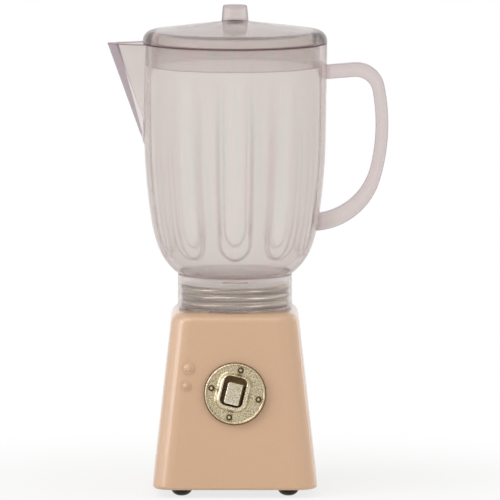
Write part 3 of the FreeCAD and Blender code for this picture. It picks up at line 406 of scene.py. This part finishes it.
nosed = add(tree, "ShaderNodeMix",
            {"Factor": on_nose.outputs[0], COLOUR_A: fluted.outputs[MIXED_COLOUR],
             COLOUR_B: linear(NOSE_MAUVE)}, data_type="RGBA")
print("the nose leans", round(math.degrees(math.atan2(down_nose.x, -down_nose.z)), 1), "degrees")

# %% Clear plastic: edges and corners
WALL_OUTLINE_MM = 0.32
EDGE_PLUM, CORNER_PLUM = "A08D97", "B5A3AB"
turned_away = add(tree, "ShaderNodeLayerWeight", {"Blend": 0.5})
edge = add(tree, "ShaderNodeMapRange",
           {"Value": turned_away.outputs["Facing"], "From Min": 0.80, "From Max": 1.0,
            "To Max": 0.18}, name="edge_shade", interpolation_type="SMOOTHSTEP")
edged = add(tree, "ShaderNodeMix",
            {"Factor": edge.outputs[0], COLOUR_A: nosed.outputs[MIXED_COLOUR],
             COLOUR_B: linear(EDGE_PLUM)}, data_type="RGBA")
inner_shade = add(tree, "ShaderNodeAmbientOcclusion", {"Distance": WALL_OUTLINE_MM * MM},
                  name="inner_shade", samples=4, inside=True, only_local=True)
corner = add(tree, "ShaderNodeMapRange",
             {"Value": inner_shade.outputs["AO"], "From Min": 0.65, "From Max": 0.95,
              "To Min": 0.8, "To Max": 0.0})
outlined = add(tree, "ShaderNodeMix",
               {"Factor": corner.outputs[0], COLOUR_A: edged.outputs[MIXED_COLOUR],
                COLOUR_B: linear(CORNER_PLUM)}, data_type="RGBA")
print("outlines in the wall reach", WALL_OUTLINE_MM, "mm deep")

# %% [markdown]
# ## Painted shade in the seams
# Where the lid sits on the jug's rim and the knob on the lid, a thin dark line is painted:
# painted shade, standing in for the dark line that light shows where the parts meet. A
# Compare node marks a thin level band at each seam, at heights read from the imported pieces.

# %% Clear plastic: seams
RIM_SEAM, KNOB_SEAM = 0.12 * MM, 0.09 * MM
# the knob's spigot goes down through the lid, so its lowest point is below its foot
SPIGOT_BELOW_SEAM = 0.87 * MM
RIM_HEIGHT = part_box("jug")[1][2]
KNOB_FOOT_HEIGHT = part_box("lid_knob")[0][2] + SPIGOT_BELOW_SEAM
KNOB_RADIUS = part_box("lid_knob")[1][0]
# dark colours painted at the two seams: painted shade where the parts meet
RIM_SEAM_SHADE, KNOB_SEAM_SHADE = "8A6670", "1E0A12"
at_rim = add(tree, "ShaderNodeMath", {0: xyz["Z"], 1: RIM_HEIGHT, 2: RIM_SEAM},
             operation="COMPARE")
at_knob = add(tree, "ShaderNodeMath", {0: xyz["Z"], 1: KNOB_FOOT_HEIGHT, 2: KNOB_SEAM},
              operation="COMPARE")
under_knob = add(tree, "ShaderNodeMath", {0: from_axis(tree, place), 1: KNOB_RADIUS},
                 operation="LESS_THAN")
at_seam = add(tree, "ShaderNodeMath", {0: at_knob.outputs[0], 1: under_knob.outputs[0]},
              operation="MULTIPLY")
rimmed = add(tree, "ShaderNodeMix",
             {"Factor": at_rim.outputs[0], COLOUR_A: outlined.outputs[MIXED_COLOUR],
              COLOUR_B: linear(RIM_SEAM_SHADE)}, data_type="RGBA")
seamed = add(tree, "ShaderNodeMix",
             {"Factor": at_seam.outputs[0], COLOUR_A: rimmed.outputs[MIXED_COLOUR],
              COLOUR_B: linear(KNOB_SEAM_SHADE)}, data_type="RGBA")
tree.links.new(seamed.outputs[MIXED_COLOUR], shader.inputs["Base Color"])
print("rim seam at", round(RIM_HEIGHT / MM, 2), "and knob seam at",
      round(KNOB_FOOT_HEIGHT / MM, 2), "mm")

# %% [markdown]
# ## Solid clear pieces
# The handle and the knob are solid through, so more of them is edge and their tint gathers
# over a longer way. They get a copy of the wall's plastic with three nodes set anew.

# %% Clear plastic: solid pieces
SOLID_OUTLINE_MM = 0.9
SOLID_DENSITY = 180.0
SOLID_EDGE = {"From Min": 0.25, "From Max": 0.80, "To Max": 1.0}
solid_plastic = clear_plastic.copy()
solid_plastic.name = "moulded_clear_polystyrene_solid"
recipe = solid_plastic.node_tree.nodes
recipe["inner_shade"].inputs["Distance"].default_value = SOLID_OUTLINE_MM * MM
recipe["tint"].inputs["Density"].default_value = SOLID_DENSITY
for socket, value in SOLID_EDGE.items():
    recipe["edge_shade"].inputs[socket].default_value = value
dress(("jug", "lid"), clear_plastic)
dress(("jug_handle", "lid_knob"), solid_plastic)

# %% [markdown]
# ## Peach enamel
# The housing and the two studs are sprayed with one coat of glossy peach enamel over bare
# metal. A coat of paint levels itself, so it has the faint "orange peel" of a sprayed
# surface: shallow waves about 1.5 mm across that only the highlights show. Its colour varies
# a little from place to place, and pigment mottles it faintly, half a millimetre at a time.

# %% Peach enamel
CLOUD_MM, MOTTLE_MM, PEEL_MM = 14, 0.5, 1.5
MOTTLE_SHARE = 0.05
DEEPER_PEACH, PALER_PEACH = "CBA788", "CFAA8A"
enamel, tree, shader, place = finish_named("sprayed_peach_enamel")
shader.inputs["Roughness"].default_value = 0.42
shader.inputs["Coat Weight"].default_value = 0.8
shader.inputs["Coat Roughness"].default_value = 0.12
cloud = add(tree, "ShaderNodeTexNoise", {"Vector": place, "Scale": 1 / (CLOUD_MM * MM),
                                         "Detail": 3.0})
mottle = add(tree, "ShaderNodeTexNoise", {"Vector": place, "Scale": 1 / (MOTTLE_MM * MM),
                                          "Detail": 2.0})
peel = add(tree, "ShaderNodeTexNoise", {"Vector": place, "Scale": 1 / (PEEL_MM * MM),
                                        "Detail": 1.0})
paint = add(tree, "ShaderNodeMix",
            {"Factor": cloud.outputs[0], COLOUR_A: linear(DEEPER_PEACH),
             COLOUR_B: linear(PALER_PEACH)}, data_type="RGBA")
mottled = add(tree, "ShaderNodeMix",
              {"Factor": MOTTLE_SHARE, COLOUR_A: paint.outputs[MIXED_COLOUR],
               COLOUR_B: mottle.outputs["Color"]}, data_type="RGBA", blend_type="OVERLAY")
tree.links.new(mottled.outputs[MIXED_COLOUR], shader.inputs["Base Color"])
peel_bump = add(tree, "ShaderNodeBump", {"Strength": 0.12, "Distance": 0.04 * MM,
                                         "Height": peel.outputs[0]})
tree.links.new(peel_bump.outputs[0], shader.inputs["Normal"])
tree.links.new(peel_bump.outputs[0], shader.inputs["Coat Normal"])
dress(("base_housing", "indicator_stud_upper", "indicator_stud_lower"), enamel)

# %% [markdown]
# ## Antiqued white metal
# The dial is a zinc casting plated with pale nickel silver, then dipped in a dark patina and
# rubbed back. Raised parts are bright with a sandy cast grain, and the brown stays in every
# corner that the rag couldn't reach. Ambient occlusion finds those corners from the
# geometry alone, from any side, and there the dull brown oxide covers the metal. The rag
# also misses the recess's floor, and rubs high places hardest. The dark at the disc's outer
# edge and round the foot of each rivet is partly this patina and partly painted shadow, where
# the disc and the rivets meet the face below them. These are told by the height over the
# housing's face, a dot product with the dial's axis.

# %% The dial's own frame
dial_joint = next(joint for joint in frame["joints"] if joint["name"] == "dial_turn")
dial_axis = Vector(dial_joint["axis"])
dial_centre = Vector(dial_joint["pos_m"])
dial_lean = math.atan2(dial_axis.z, -dial_axis.y)
DIAL_TURN = math.radians(13.8)
dial_place = (Matrix.Translation(dial_centre) @ Matrix.Rotation(math.pi / 2 - dial_lean, 4, "X")
              @ Matrix.Rotation(-DIAL_TURN, 4, "Z"))


def over_housing(tree, place):
    """Height of a point over the housing's leaning face, in millimetres."""
    along = add(tree, "ShaderNodeVectorMath", {0: place, 1: dial_axis}, operation="DOT_PRODUCT")
    return add(tree, "ShaderNodeMath",
               {0: along.outputs["Value"], 1: 1 / MM, 2: -dial_axis.dot(dial_centre) / MM},
               operation="MULTIPLY_ADD").outputs[0]


print("the face leans back", round(math.degrees(dial_lean), 2), "degrees")

# %% What the rag took off, with painted shadow low down
# share of the patina that is rubbed off, by height over the housing in millimetres: the
# recess's floor lies at 0.6, the plate's face at 0.9 and the bezel's top at 1.65; down the
# disc's outer edge, below 0.58, the dark is partly patina and partly painted shadow
PLATE_WEAR_AND_SHADE = ((0.58, 0.04), (0.62, 0.24), (0.85, 0.80), (1.00, 0.82), (1.70, 1.0))
# a rivet's head stands from 0.9 to 1.32; its dark foot is partly patina and partly painted shadow
RIVET_WEAR_AND_SHADE = ((1.21, 0.0), (1.26, 0.2), (1.32, 1.0))
# a ramp runs from 0 to 1, so each height is taken as a share of this one
TALLEST_MM = 2.5
CORNER_MM = 0.8


def set_stops(ramp, stops):
    """Give a ramp its stops, as pairs of a position and a linear colour."""
    steps = ramp.color_ramp.elements
    steps[0].position, steps[0].color = stops[0]
    steps[1].position, steps[1].color = stops[-1]
    for position, colour in stops[1:-1]:
        steps.new(position).color = colour


def bare_share_with_shade(tree, place, grit, wear_and_shade_by_height):
    """Share of the patina that is gone: less in corners, in the pits of the grain and low down, where
    down the disc's edge it is partly painted shadow.
    """
    corner_shade = add(tree, "ShaderNodeAmbientOcclusion", {"Distance": CORNER_MM * MM}, samples=8)
    reached = add(tree, "ShaderNodeMapRange", {"Value": corner_shade.outputs["AO"],
                                               "From Min": 0.05, "From Max": 0.92})
    grain = add(tree, "ShaderNodeMapRange", {"Value": grit, "From Min": 0.42, "From Max": 0.55,
                                             "To Min": 0.42, "To Max": 1.0})
    level = add(tree, "ShaderNodeMath", {0: over_housing(tree, place), 1: TALLEST_MM},
                operation="DIVIDE")
    pressed = add(tree, "ShaderNodeValToRGB", {0: level.outputs[0]})
    set_stops(pressed, [(height / TALLEST_MM, (share, share, share, 1))
                        for height, share in wear_and_shade_by_height])
    grained = add(tree, "ShaderNodeMath", {0: reached.outputs[0], 1: grain.outputs[0]},
                  operation="MULTIPLY")
    return add(tree, "ShaderNodeMath", {0: grained.outputs[0], 1: pressed.outputs[0]},
               operation="MULTIPLY").outputs[0]


print("the rag misses corners within", CORNER_MM, "mm")

# %% Antiqued metal
# patina from untouched to rubbed bare
PATINA_STEPS = ((0.0, "33240F"), (0.12, "6E5530"), (0.35, "98835A"), (0.60, "D2C29D"),
                (0.82, "F2E8D0"), (1.0, "FDF8EA"))
# the real grain is finer still; this is as coarse as it needs to show
GRIT_MM = 0.17


def antiqued(name, wear_and_shade_by_height):
    """Antiqued nickel silver; the pairs say how much the rag took off at each height, and low down they
    also paint shadow.
    """
    material, tree, shader, place = finish_named(name)
    grit = add(tree, "ShaderNodeTexNoise", {"Vector": place, "Scale": 1 / (GRIT_MM * MM),
                                            "Detail": 3.0, "Roughness": 0.7})
    worn = bare_share_with_shade(tree, place, grit.outputs[0], wear_and_shade_by_height)
    patina = add(tree, "ShaderNodeValToRGB", {0: worn})
    set_stops(patina, [(share, linear(colour)) for share, colour in PATINA_STEPS])
    metal = add(tree, "ShaderNodeMapRange", {"Value": worn, "From Max": 0.6, "To Min": 0.25})
    rough = add(tree, "ShaderNodeMapRange", {"Value": worn, "To Min": 0.60, "To Max": 0.24})
    bump = add(tree, "ShaderNodeBump", {"Strength": 0.5, "Distance": 0.04 * MM,
                                        "Height": grit.outputs[0]})
    tree.links.new(patina.outputs["Color"], shader.inputs["Base Color"])
    tree.links.new(metal.outputs[0], shader.inputs["Metallic"])
    tree.links.new(rough.outputs[0], shader.inputs["Roughness"])
    tree.links.new(bump.outputs[0], shader.inputs["Normal"])
    return material


antique = antiqued("antiqued_cast_nickel_silver", PLATE_WEAR_AND_SHADE)
antique_rivet = antiqued("antiqued_rivet_heads", RIVET_WEAR_AND_SHADE)
print("antiqued metal, grain", GRIT_MM, "mm")

# %% [markdown]
# ## Nickel plate
# The collar and the hardware inside are thinly plated nickel over brass, turned on a lathe:
# bright, with level tool marks and pits that have gone dull. The marks are a noise that is
# squeezed upwards and stretched sideways. The collar's top face, and whatever lies as near
# to the axis as the well of its screw, is painted light: a painted reflection on the top face,
# which catches the white tent at a grazing angle, and painted light that fills the shade in
# the screw's well. The top face is also smoother.

# %% Nickel: tool marks and pits
TOOL_MARK_MM, MARK_LENGTH_MM, PIT_MM = 0.35, 11, 0.3
PIT_SHARE = 0.25
COLLAR_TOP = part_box("jug_collar")[1][2]
TOP_DEPTH = 0.04 * MM
nickel, tree, shader, place = finish_named("thin_nickel_plate")
shader.inputs["Metallic"].default_value = 1.0
squeezed = (1 / (MARK_LENGTH_MM * MM), 1 / (MARK_LENGTH_MM * MM), 1 / (TOOL_MARK_MM * MM))
stretch = add(tree, "ShaderNodeMapping", {"Vector": place, "Scale": squeezed})
marks = add(tree, "ShaderNodeTexNoise", {"Vector": stretch.outputs[0], "Scale": 1.0,
                                         "Detail": 2.0})
pits = add(tree, "ShaderNodeTexNoise", {"Vector": place, "Scale": 1 / (PIT_MM * MM),
                                        "Detail": 3.0})
worn = add(tree, "ShaderNodeMix", {"Factor": PIT_SHARE, NUMBER_A: marks.outputs[0],
                                   NUMBER_B: pits.outputs[0]})
height = add(tree, "ShaderNodeSeparateXYZ", {0: place}).outputs["Z"]
# the collar's top face: painted reflection, and smoother
top = add(tree, "ShaderNodeMath", {0: height, 1: COLLAR_TOP, 2: TOP_DEPTH},
          operation="COMPARE")
shine = add(tree, "ShaderNodeMapRange", {"Value": worn.outputs[0], "From Min": 0.36,
                                         "From Max": 0.58})
bright = add(tree, "ShaderNodeMath", {0: shine.outputs[0], 1: top.outputs[0]},
             operation="MAXIMUM")
print("tool marks", TOOL_MARK_MM, "mm apart")

# %% Nickel: colour and gloss
WELL_RADIUS = 2.7 * MM
# the lightest colour is painted light: a reflection on the top face, and no shade in the screw's well
DULL_NICKEL, BRIGHT_NICKEL, PAINTED_LIGHT_NICKEL = "75675D", "B8ACA1", "E4DBD4"
plate = add(tree, "ShaderNodeMix",
            {"Factor": bright.outputs[0], COLOUR_A: linear(DULL_NICKEL),
             COLOUR_B: linear(BRIGHT_NICKEL)}, data_type="RGBA")
in_well = add(tree, "ShaderNodeMath", {0: from_axis(tree, place), 1: WELL_RADIUS},
              operation="LESS_THAN")
painted_light = add(tree, "ShaderNodeMath", {0: in_well.outputs[0], 1: top.outputs[0]},
               operation="MAXIMUM")
lightened = add(tree, "ShaderNodeMix",
             {"Factor": painted_light.outputs[0], COLOUR_A: plate.outputs[MIXED_COLOUR],
              COLOUR_B: linear(PAINTED_LIGHT_NICKEL)}, data_type="RGBA")
tree.links.new(lightened.outputs[MIXED_COLOUR], shader.inputs["Base Color"])
rough = add(tree, "ShaderNodeMapRange", {"Value": bright.outputs[0], "To Min": 0.45,
                                         "To Max": 0.22})
tree.links.new(rough.outputs[0], shader.inputs["Roughness"])
dress(("jug_collar", "collar_screw", "collar_washer", "collar_nut", "stud_retainers",
       "dial_spring_washer", "dial_retainer"), nickel)

# %% [markdown]
# ## Bronzed feet and painted steel
# The feet are dark bronzed screw heads, nearly black with a soft shine. The base plate is
# steel with a coat of dark paint, which is dull and slightly blotchy.

# %% Dark bronze
BRONZE_PATCH_MM = 0.6
DARK_BRONZE, WORN_BRONZE = "231E19", "443C31"
bronze, tree, shader, place = finish_named("dark_bronzed_screw_heads")
shader.inputs["Metallic"].default_value = 1.0
shader.inputs["Roughness"].default_value = 0.4
patch = add(tree, "ShaderNodeTexNoise", {"Vector": place, "Scale": 1 / (BRONZE_PATCH_MM * MM),
                                         "Detail": 3.0})
brown = add(tree, "ShaderNodeMix",
            {"Factor": patch.outputs[0], COLOUR_A: linear(DARK_BRONZE),
             COLOUR_B: linear(WORN_BRONZE)}, data_type="RGBA")
tree.links.new(brown.outputs[MIXED_COLOUR], shader.inputs["Base Color"])
dress(("foot_front_left", "foot_front_right", "foot_rear_left", "foot_rear_right"), bronze)

# %% Painted steel
BLOTCH_MM = 3
DARK_PAINT, PALER_PAINT = "2A2725", "37322F"
painted, tree, shader, place = finish_named("dark_painted_steel")
shader.inputs["Roughness"].default_value = 0.55
blotch = add(tree, "ShaderNodeTexNoise", {"Vector": place, "Scale": 1 / (BLOTCH_MM * MM),
                                          "Detail": 3.0})
black = add(tree, "ShaderNodeMix",
            {"Factor": blotch.outputs[0], COLOUR_A: linear(DARK_PAINT),
             COLOUR_B: linear(PALER_PAINT)}, data_type="RGBA")
tree.links.new(black.outputs[MIXED_COLOUR], shader.inputs["Base Color"])
dress(("base_plate",), painted)

# %% [markdown]
# ## Cast dial
# A casting has no sharp edges: its bezel swells out of the plate and its recess is dished.
# So the face is one height for each point, the sum of a few soft steps, each driven by the
# distance to a rounded rectangle. Rings of points round the stem's hole take that height,
# and the same rings go on over the lip, down the tapered side and back under, so the plate
# closes on itself like a quoit. Sizes in these cells are in millimetres, in the dial's own
# frame, where the third number is the height over the housing.

# %% Rings to a closed mesh
def skin(name, rings, finish, looped):
    """Closed smooth mesh over rings of points; the ends meet each other, or each ends in a fan."""
    count = len(rings[0])
    points = [dial_place @ (Vector(point) * MM) for ring in rings for point in ring]
    spans = len(rings) if looped else len(rings) - 1
    faces = []
    for ring in range(spans):
        low, high = ring * count, (ring + 1) % len(rings) * count
        faces += [(low + i, low + (i + 1) % count, high + (i + 1) % count, high + i)
                  for i in range(count)]
    if not looped:
        faces += [tuple(range(count))[::-1], tuple(range(len(points) - count, len(points)))]
    mesh = bpy.data.meshes.new(name)
    mesh.from_pydata(points, [], faces)
    shell = bmesh.new()
    shell.from_mesh(mesh)
    bmesh.ops.recalc_face_normals(shell, faces=shell.faces)
    shell.to_mesh(mesh)
    shell.free()
    mesh.shade_smooth()
    mesh.materials.append(finish)
    return put(name, mesh)


def circle(radius, height, count):
    """Ring of points round the dial's axis; height is a number or a function of the place."""
    ring = []
    for number in range(count):
        turn = 2 * math.pi * number / count
        u, v = radius * math.cos(turn), radius * math.sin(turn)
        ring.append((u, v, height(u, v) if callable(height) else height))
    return ring


print("a ring of 4 points:", [[round(value) for value in point] for point in circle(1, 0, 4)])

# %% The cast face's height
GAP, PLATE_FACE, RECESS_FLOOR, GRIP_FACE = 0.15, 0.90, 0.60, 2.10
EDGE_RADIUS, LIP_HALF_WIDTH, LIP_HEIGHT = 5.56, 0.19, 0.20
# half width, half length and corner radius of each rounded rectangle
BEZEL, BEZEL_CENTRE = (3.3, 3.75, 2.3), (-0.30, 0.11)
BEZEL_HEIGHT, BEZEL_SLOPE = 0.75, 0.85
RECESS, RECESS_CENTRE = (2.15, 2.82, 1.1), (-0.36, 0.36)
RECESS_SLOPE, DISH_OVERLAP = 0.50, 0.15


def ease(value):
    """Soft step from 0 to 1."""
    value = min(max(value, 0), 1)
    return value * value * (3 - 2 * value)


def to_edge(u, v, half_u, half_v, corner):
    """Distance to the outline of a rounded rectangle, negative inside it."""
    du, dv = abs(u) - (half_u - corner), abs(v) - (half_v - corner)
    return math.hypot(max(du, 0), max(dv, 0)) + min(max(du, dv), 0) - corner


def face_height(u, v):
    """Height of the cast face over the housing."""
    to_bezel = to_edge(u - BEZEL_CENTRE[0], v - BEZEL_CENTRE[1], *BEZEL)
    to_recess = to_edge(u - RECESS_CENTRE[0], v - RECESS_CENTRE[1], *RECESS)
    from_lip = (math.hypot(u, v) - EDGE_RADIUS + LIP_HALF_WIDTH) / LIP_HALF_WIDTH
    bezel = BEZEL_HEIGHT * ease(-to_bezel / BEZEL_SLOPE)
    lip = LIP_HEIGHT * math.sqrt(max(0, 1 - from_lip**2))
    dish = ease(DISH_OVERLAP - to_recess / RECESS_SLOPE)
    return (PLATE_FACE + bezel + lip) * (1 - dish) + RECESS_FLOOR * dish


print("the lip's top is", round(face_height(EDGE_RADIUS - LIP_HALF_WIDTH, 0), 2), "mm up")

# %% Cast plate
STEM_RADIUS, FOOT_RADIUS = 1.0, 5.76
FACE_RINGS, SEGMENTS = 150, 240
# how far down the tapered side each ring lies
SIDE_SHARES = (0.05, 0.35, 0.7, 0.97, 1.0)
FOOT_EDGE = 0.03
UNDERSIDE_RADII = (FOOT_RADIUS - FOOT_EDGE, 3.0, STEM_RADIUS)
rings = [circle(STEM_RADIUS + (EDGE_RADIUS - STEM_RADIUS) * number / FACE_RINGS, face_height, SEGMENTS)
         for number in range(FACE_RINGS + 1)]
rings += [circle(EDGE_RADIUS + (FOOT_RADIUS - EDGE_RADIUS) * share,
                 PLATE_FACE + (GAP - PLATE_FACE) * share, SEGMENTS) for share in SIDE_SHARES]
rings += [circle(radius, GAP, SEGMENTS) for radius in UNDERSIDE_RADII]
plate = skin("cast_dial_plate", rings, antique, looped=True)
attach(plate, "dial")
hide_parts("dial_plate")
print("plate:", len(plate.data.polygons), "faces")

# %% [markdown]
# ## Finger grip
# The grip is rings too, from the middle of its face down to the end of its stem. Each ring
# follows a rounded rectangle, whose outline is found from the middle outwards by halving a
# span again and again. The block leans a little to one side, as the cast one does.

# %% Outline of the grip
# half width and half length at its foot, corner radius, and how far its face is shifted
GRIP_FOOT, GRIP_CORNER, GRIP_LEAN = (1.60, 2.24), 0.35, (-0.32, -0.10)
GRIP_SEGMENTS = 96
OUTSIDE_GRIP, HALVINGS = 4.0, 24


def oblong(inset, height):
    """Ring of points along a rounded rectangle, set in from the grip's foot and leaning with it."""
    lean = (height - RECESS_FLOOR) / (GRIP_FACE - RECESS_FLOOR)
    outline = (GRIP_FOOT[0] - inset, GRIP_FOOT[1] - inset, GRIP_CORNER)
    ring = []
    for number in range(GRIP_SEGMENTS):
        turn = 2 * math.pi * number / GRIP_SEGMENTS
        u, v = math.cos(turn), math.sin(turn)
        near, far = 0.0, OUTSIDE_GRIP
        for _ in range(HALVINGS):
            middle = (near + far) / 2
            inside = to_edge(u * middle, v * middle, *outline) < 0
            near, far = (middle, far) if inside else (near, middle)
        ring.append((u * near + lean * GRIP_LEAN[0], v * near + lean * GRIP_LEAN[1], height))
    return ring


print("the grip's foot is", 2 * GRIP_FOOT[0], "by", 2 * GRIP_FOOT[1], "mm")

# %% Finger grip
# inset of each ring from the foot's outline, and how far it lies below the face
GRIP_PROFILE = ((1.1, 0), (0.7, 0), (0.41, 0), (0.34, 0.01), (0.28, 0.05), (0.25, 0.12),
                (0.22, 0.3), (0.12, 0.9), (0.02, 1.4), (0, 1.5))
STEM_CHAMFER = 0.1
to_dial = dial_place.inverted()
stem_end = min((to_dial @ corner.co).z for corner in nodes["dial_grip"].data.vertices) / MM
# inset and height of each ring of the stem
STEM_PROFILE = ((0, RECESS_FLOOR), (0, RECESS_FLOOR - STEM_CHAMFER), (0, stem_end + STEM_CHAMFER),
                (STEM_CHAMFER, stem_end))
rings = [oblong(inset, GRIP_FACE - drop) for inset, drop in GRIP_PROFILE]
rings += [circle(STEM_RADIUS - inset, height, GRIP_SEGMENTS) for inset, height in STEM_PROFILE]
grip = skin("cast_dial_grip", rings, antique, looped=False)
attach(grip, "dial")
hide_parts("dial_grip")
print("grip:", len(grip.data.polygons), "faces; stem ends at", round(stem_end, 2), "mm")

# %% [markdown]
# ## Rivets
# Four domed rivets hold the dial's plate, evenly round a circle: a shape that repeats by a
# rule, so it is a small Geometry Nodes tree. One dome is a flat grid rolled up by its
# formula, from its pole down to its seat and back under to the middle, so that it closes.
# The tree puts a copy at each point of a circle, and its sizes are named inputs.

# %% Tree of domed heads on a circle
RIVET_SIZES = {
    "Count": ("NodeSocketInt", 4),
    "Circle radius": ("NodeSocketFloat", 4.46 * MM),
    "Head radius": ("NodeSocketFloat", 0.56 * MM),
    "Head height": ("NodeSocketFloat", 0.42 * MM),
    "Finish": ("NodeSocketMaterial", antique_rivet),
}
COLUMNS, ROWS = 33, 17
# share of the grid's rows that makes the dome; the others make its flat underside
DOME_SHARE = 0.8


def rolled_dome(group, given):
    """Closed mesh of one head: columns of a flat grid turn round the axis and its rows go over it."""
    sheet = add(group, "GeometryNodeMeshGrid",
                {"Size X": 1.0, "Size Y": 1.0, "Vertices X": COLUMNS, "Vertices Y": ROWS})
    spot = add(group, "ShaderNodeSeparateXYZ", {0: add(group, "GeometryNodeInputPosition").outputs[0]})
    turn = add(group, "ShaderNodeMath", {0: spot.outputs["X"], 1: 2 * math.pi}, operation="MULTIPLY")
    down = add(group, "ShaderNodeMath", {0: spot.outputs["Y"], 1: 0.5}, operation="ADD")
    bend = add(group, "ShaderNodeMapRange", {"Value": down.outputs[0], "From Max": DOME_SHARE,
                                             "To Max": math.pi / 2})
    under = add(group, "ShaderNodeMapRange", {"Value": down.outputs[0], "From Min": DOME_SHARE,
                                              "To Min": 1.0, "To Max": 0.0})
    out = add(group, "ShaderNodeMath", {0: bend.outputs[0]}, operation="SINE")
    reach = add(group, "ShaderNodeMath", {0: out.outputs[0], 1: under.outputs[0]}, operation="MULTIPLY")
    radius = add(group, "ShaderNodeMath", {0: reach.outputs[0], 1: given["Head radius"]},
                 operation="MULTIPLY")
    up = add(group, "ShaderNodeMath", {0: bend.outputs[0]}, operation="COSINE")
    height = add(group, "ShaderNodeMath", {0: up.outputs[0], 1: given["Head height"]},
                 operation="MULTIPLY")
    cosine = add(group, "ShaderNodeMath", {0: turn.outputs[0]}, operation="COSINE")
    sine = add(group, "ShaderNodeMath", {0: turn.outputs[0]}, operation="SINE")
    x = add(group, "ShaderNodeMath", {0: cosine.outputs[0], 1: radius.outputs[0]}, operation="MULTIPLY")
    y = add(group, "ShaderNodeMath", {0: sine.outputs[0], 1: radius.outputs[0]}, operation="MULTIPLY")
    rolled = add(group, "ShaderNodeCombineXYZ", {0: x.outputs[0], 1: y.outputs[0], 2: height.outputs[0]})
    head = add(group, "GeometryNodeSetPosition", {"Geometry": sheet.outputs["Mesh"],
                                                  "Position": rolled.outputs[0]})
    closed = add(group, "GeometryNodeMergeByDistance", {"Geometry": head.outputs[0],
                                                        "Distance": 0.001 * MM})
    outward = add(group, "GeometryNodeFlipFaces", {"Mesh": closed.outputs[0]})
    return add(group, "GeometryNodeSetShadeSmooth", {"Geometry": outward.outputs[0]}).outputs[0]


print("a head has", (COLUMNS - 1) * (ROWS - 1), "faces")

# %% The ring of heads
def dome_ring(name, sizes):
    """Geometry Nodes tree that sets closed domes round a circle; returns it and its input identifiers."""
    group = bpy.data.node_groups.new(name, "GeometryNodeTree")
    keys = {}
    for label, (kind, _) in sizes.items():
        keys[label] = group.interface.new_socket(label, in_out="INPUT", socket_type=kind).identifier
    group.interface.new_socket("Geometry", in_out="OUTPUT", socket_type="NodeSocketGeometry")
    given = add(group, "NodeGroupInput").outputs
    head = rolled_dome(group, given)
    centres = add(group, "GeometryNodeMeshCircle", {"Vertices": given["Count"],
                                                    "Radius": given["Circle radius"]})
    copies = add(group, "GeometryNodeInstanceOnPoints", {"Points": centres.outputs[0],
                                                         "Instance": head})
    real = add(group, "GeometryNodeRealizeInstances", {0: copies.outputs[0]})
    finished = add(group, "GeometryNodeSetMaterial", {"Geometry": real.outputs[0],
                                                      "Material": given["Finish"]})
    add(group, "NodeGroupOutput", {"Geometry": finished.outputs[0]})
    return group, keys


group, keys = dome_ring("dome_ring", RIVET_SIZES)
print("the tree has", len(group.nodes), "nodes and takes", ", ".join(keys))

# %% Rivets
def grown(name, group, keys, values, place):
    """Plain mesh object grown by a tree, with its place baked into the mesh."""
    seed = put(name, bpy.data.meshes.new(name))
    modifier = seed.modifiers.new("grow", "NODES")
    modifier.node_group = group
    for label, value in values.items():
        modifier[keys[label]] = value
    bpy.context.view_layer.update()
    mesh = bpy.data.meshes.new_from_object(seed.evaluated_get(bpy.context.evaluated_depsgraph_get()))
    seed.modifiers.clear()
    seed.data = mesh
    mesh.name = name
    mesh.transform(place)
    return seed


rivets = grown("rivet_domes", group, keys, {label: value for label, (_, value) in RIVET_SIZES.items()},
               dial_place @ Matrix.Translation((0, 0, PLATE_FACE * MM)))
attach(rivets, "dial")
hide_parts("dial_rivets")
volume = sum(face.center.dot(face.normal) * face.area for face in rivets.data.polygons) / 3
print("rivets:", len(rivets.data.polygons), "faces; volume", round(volume / MM**3, 2), "mm3")
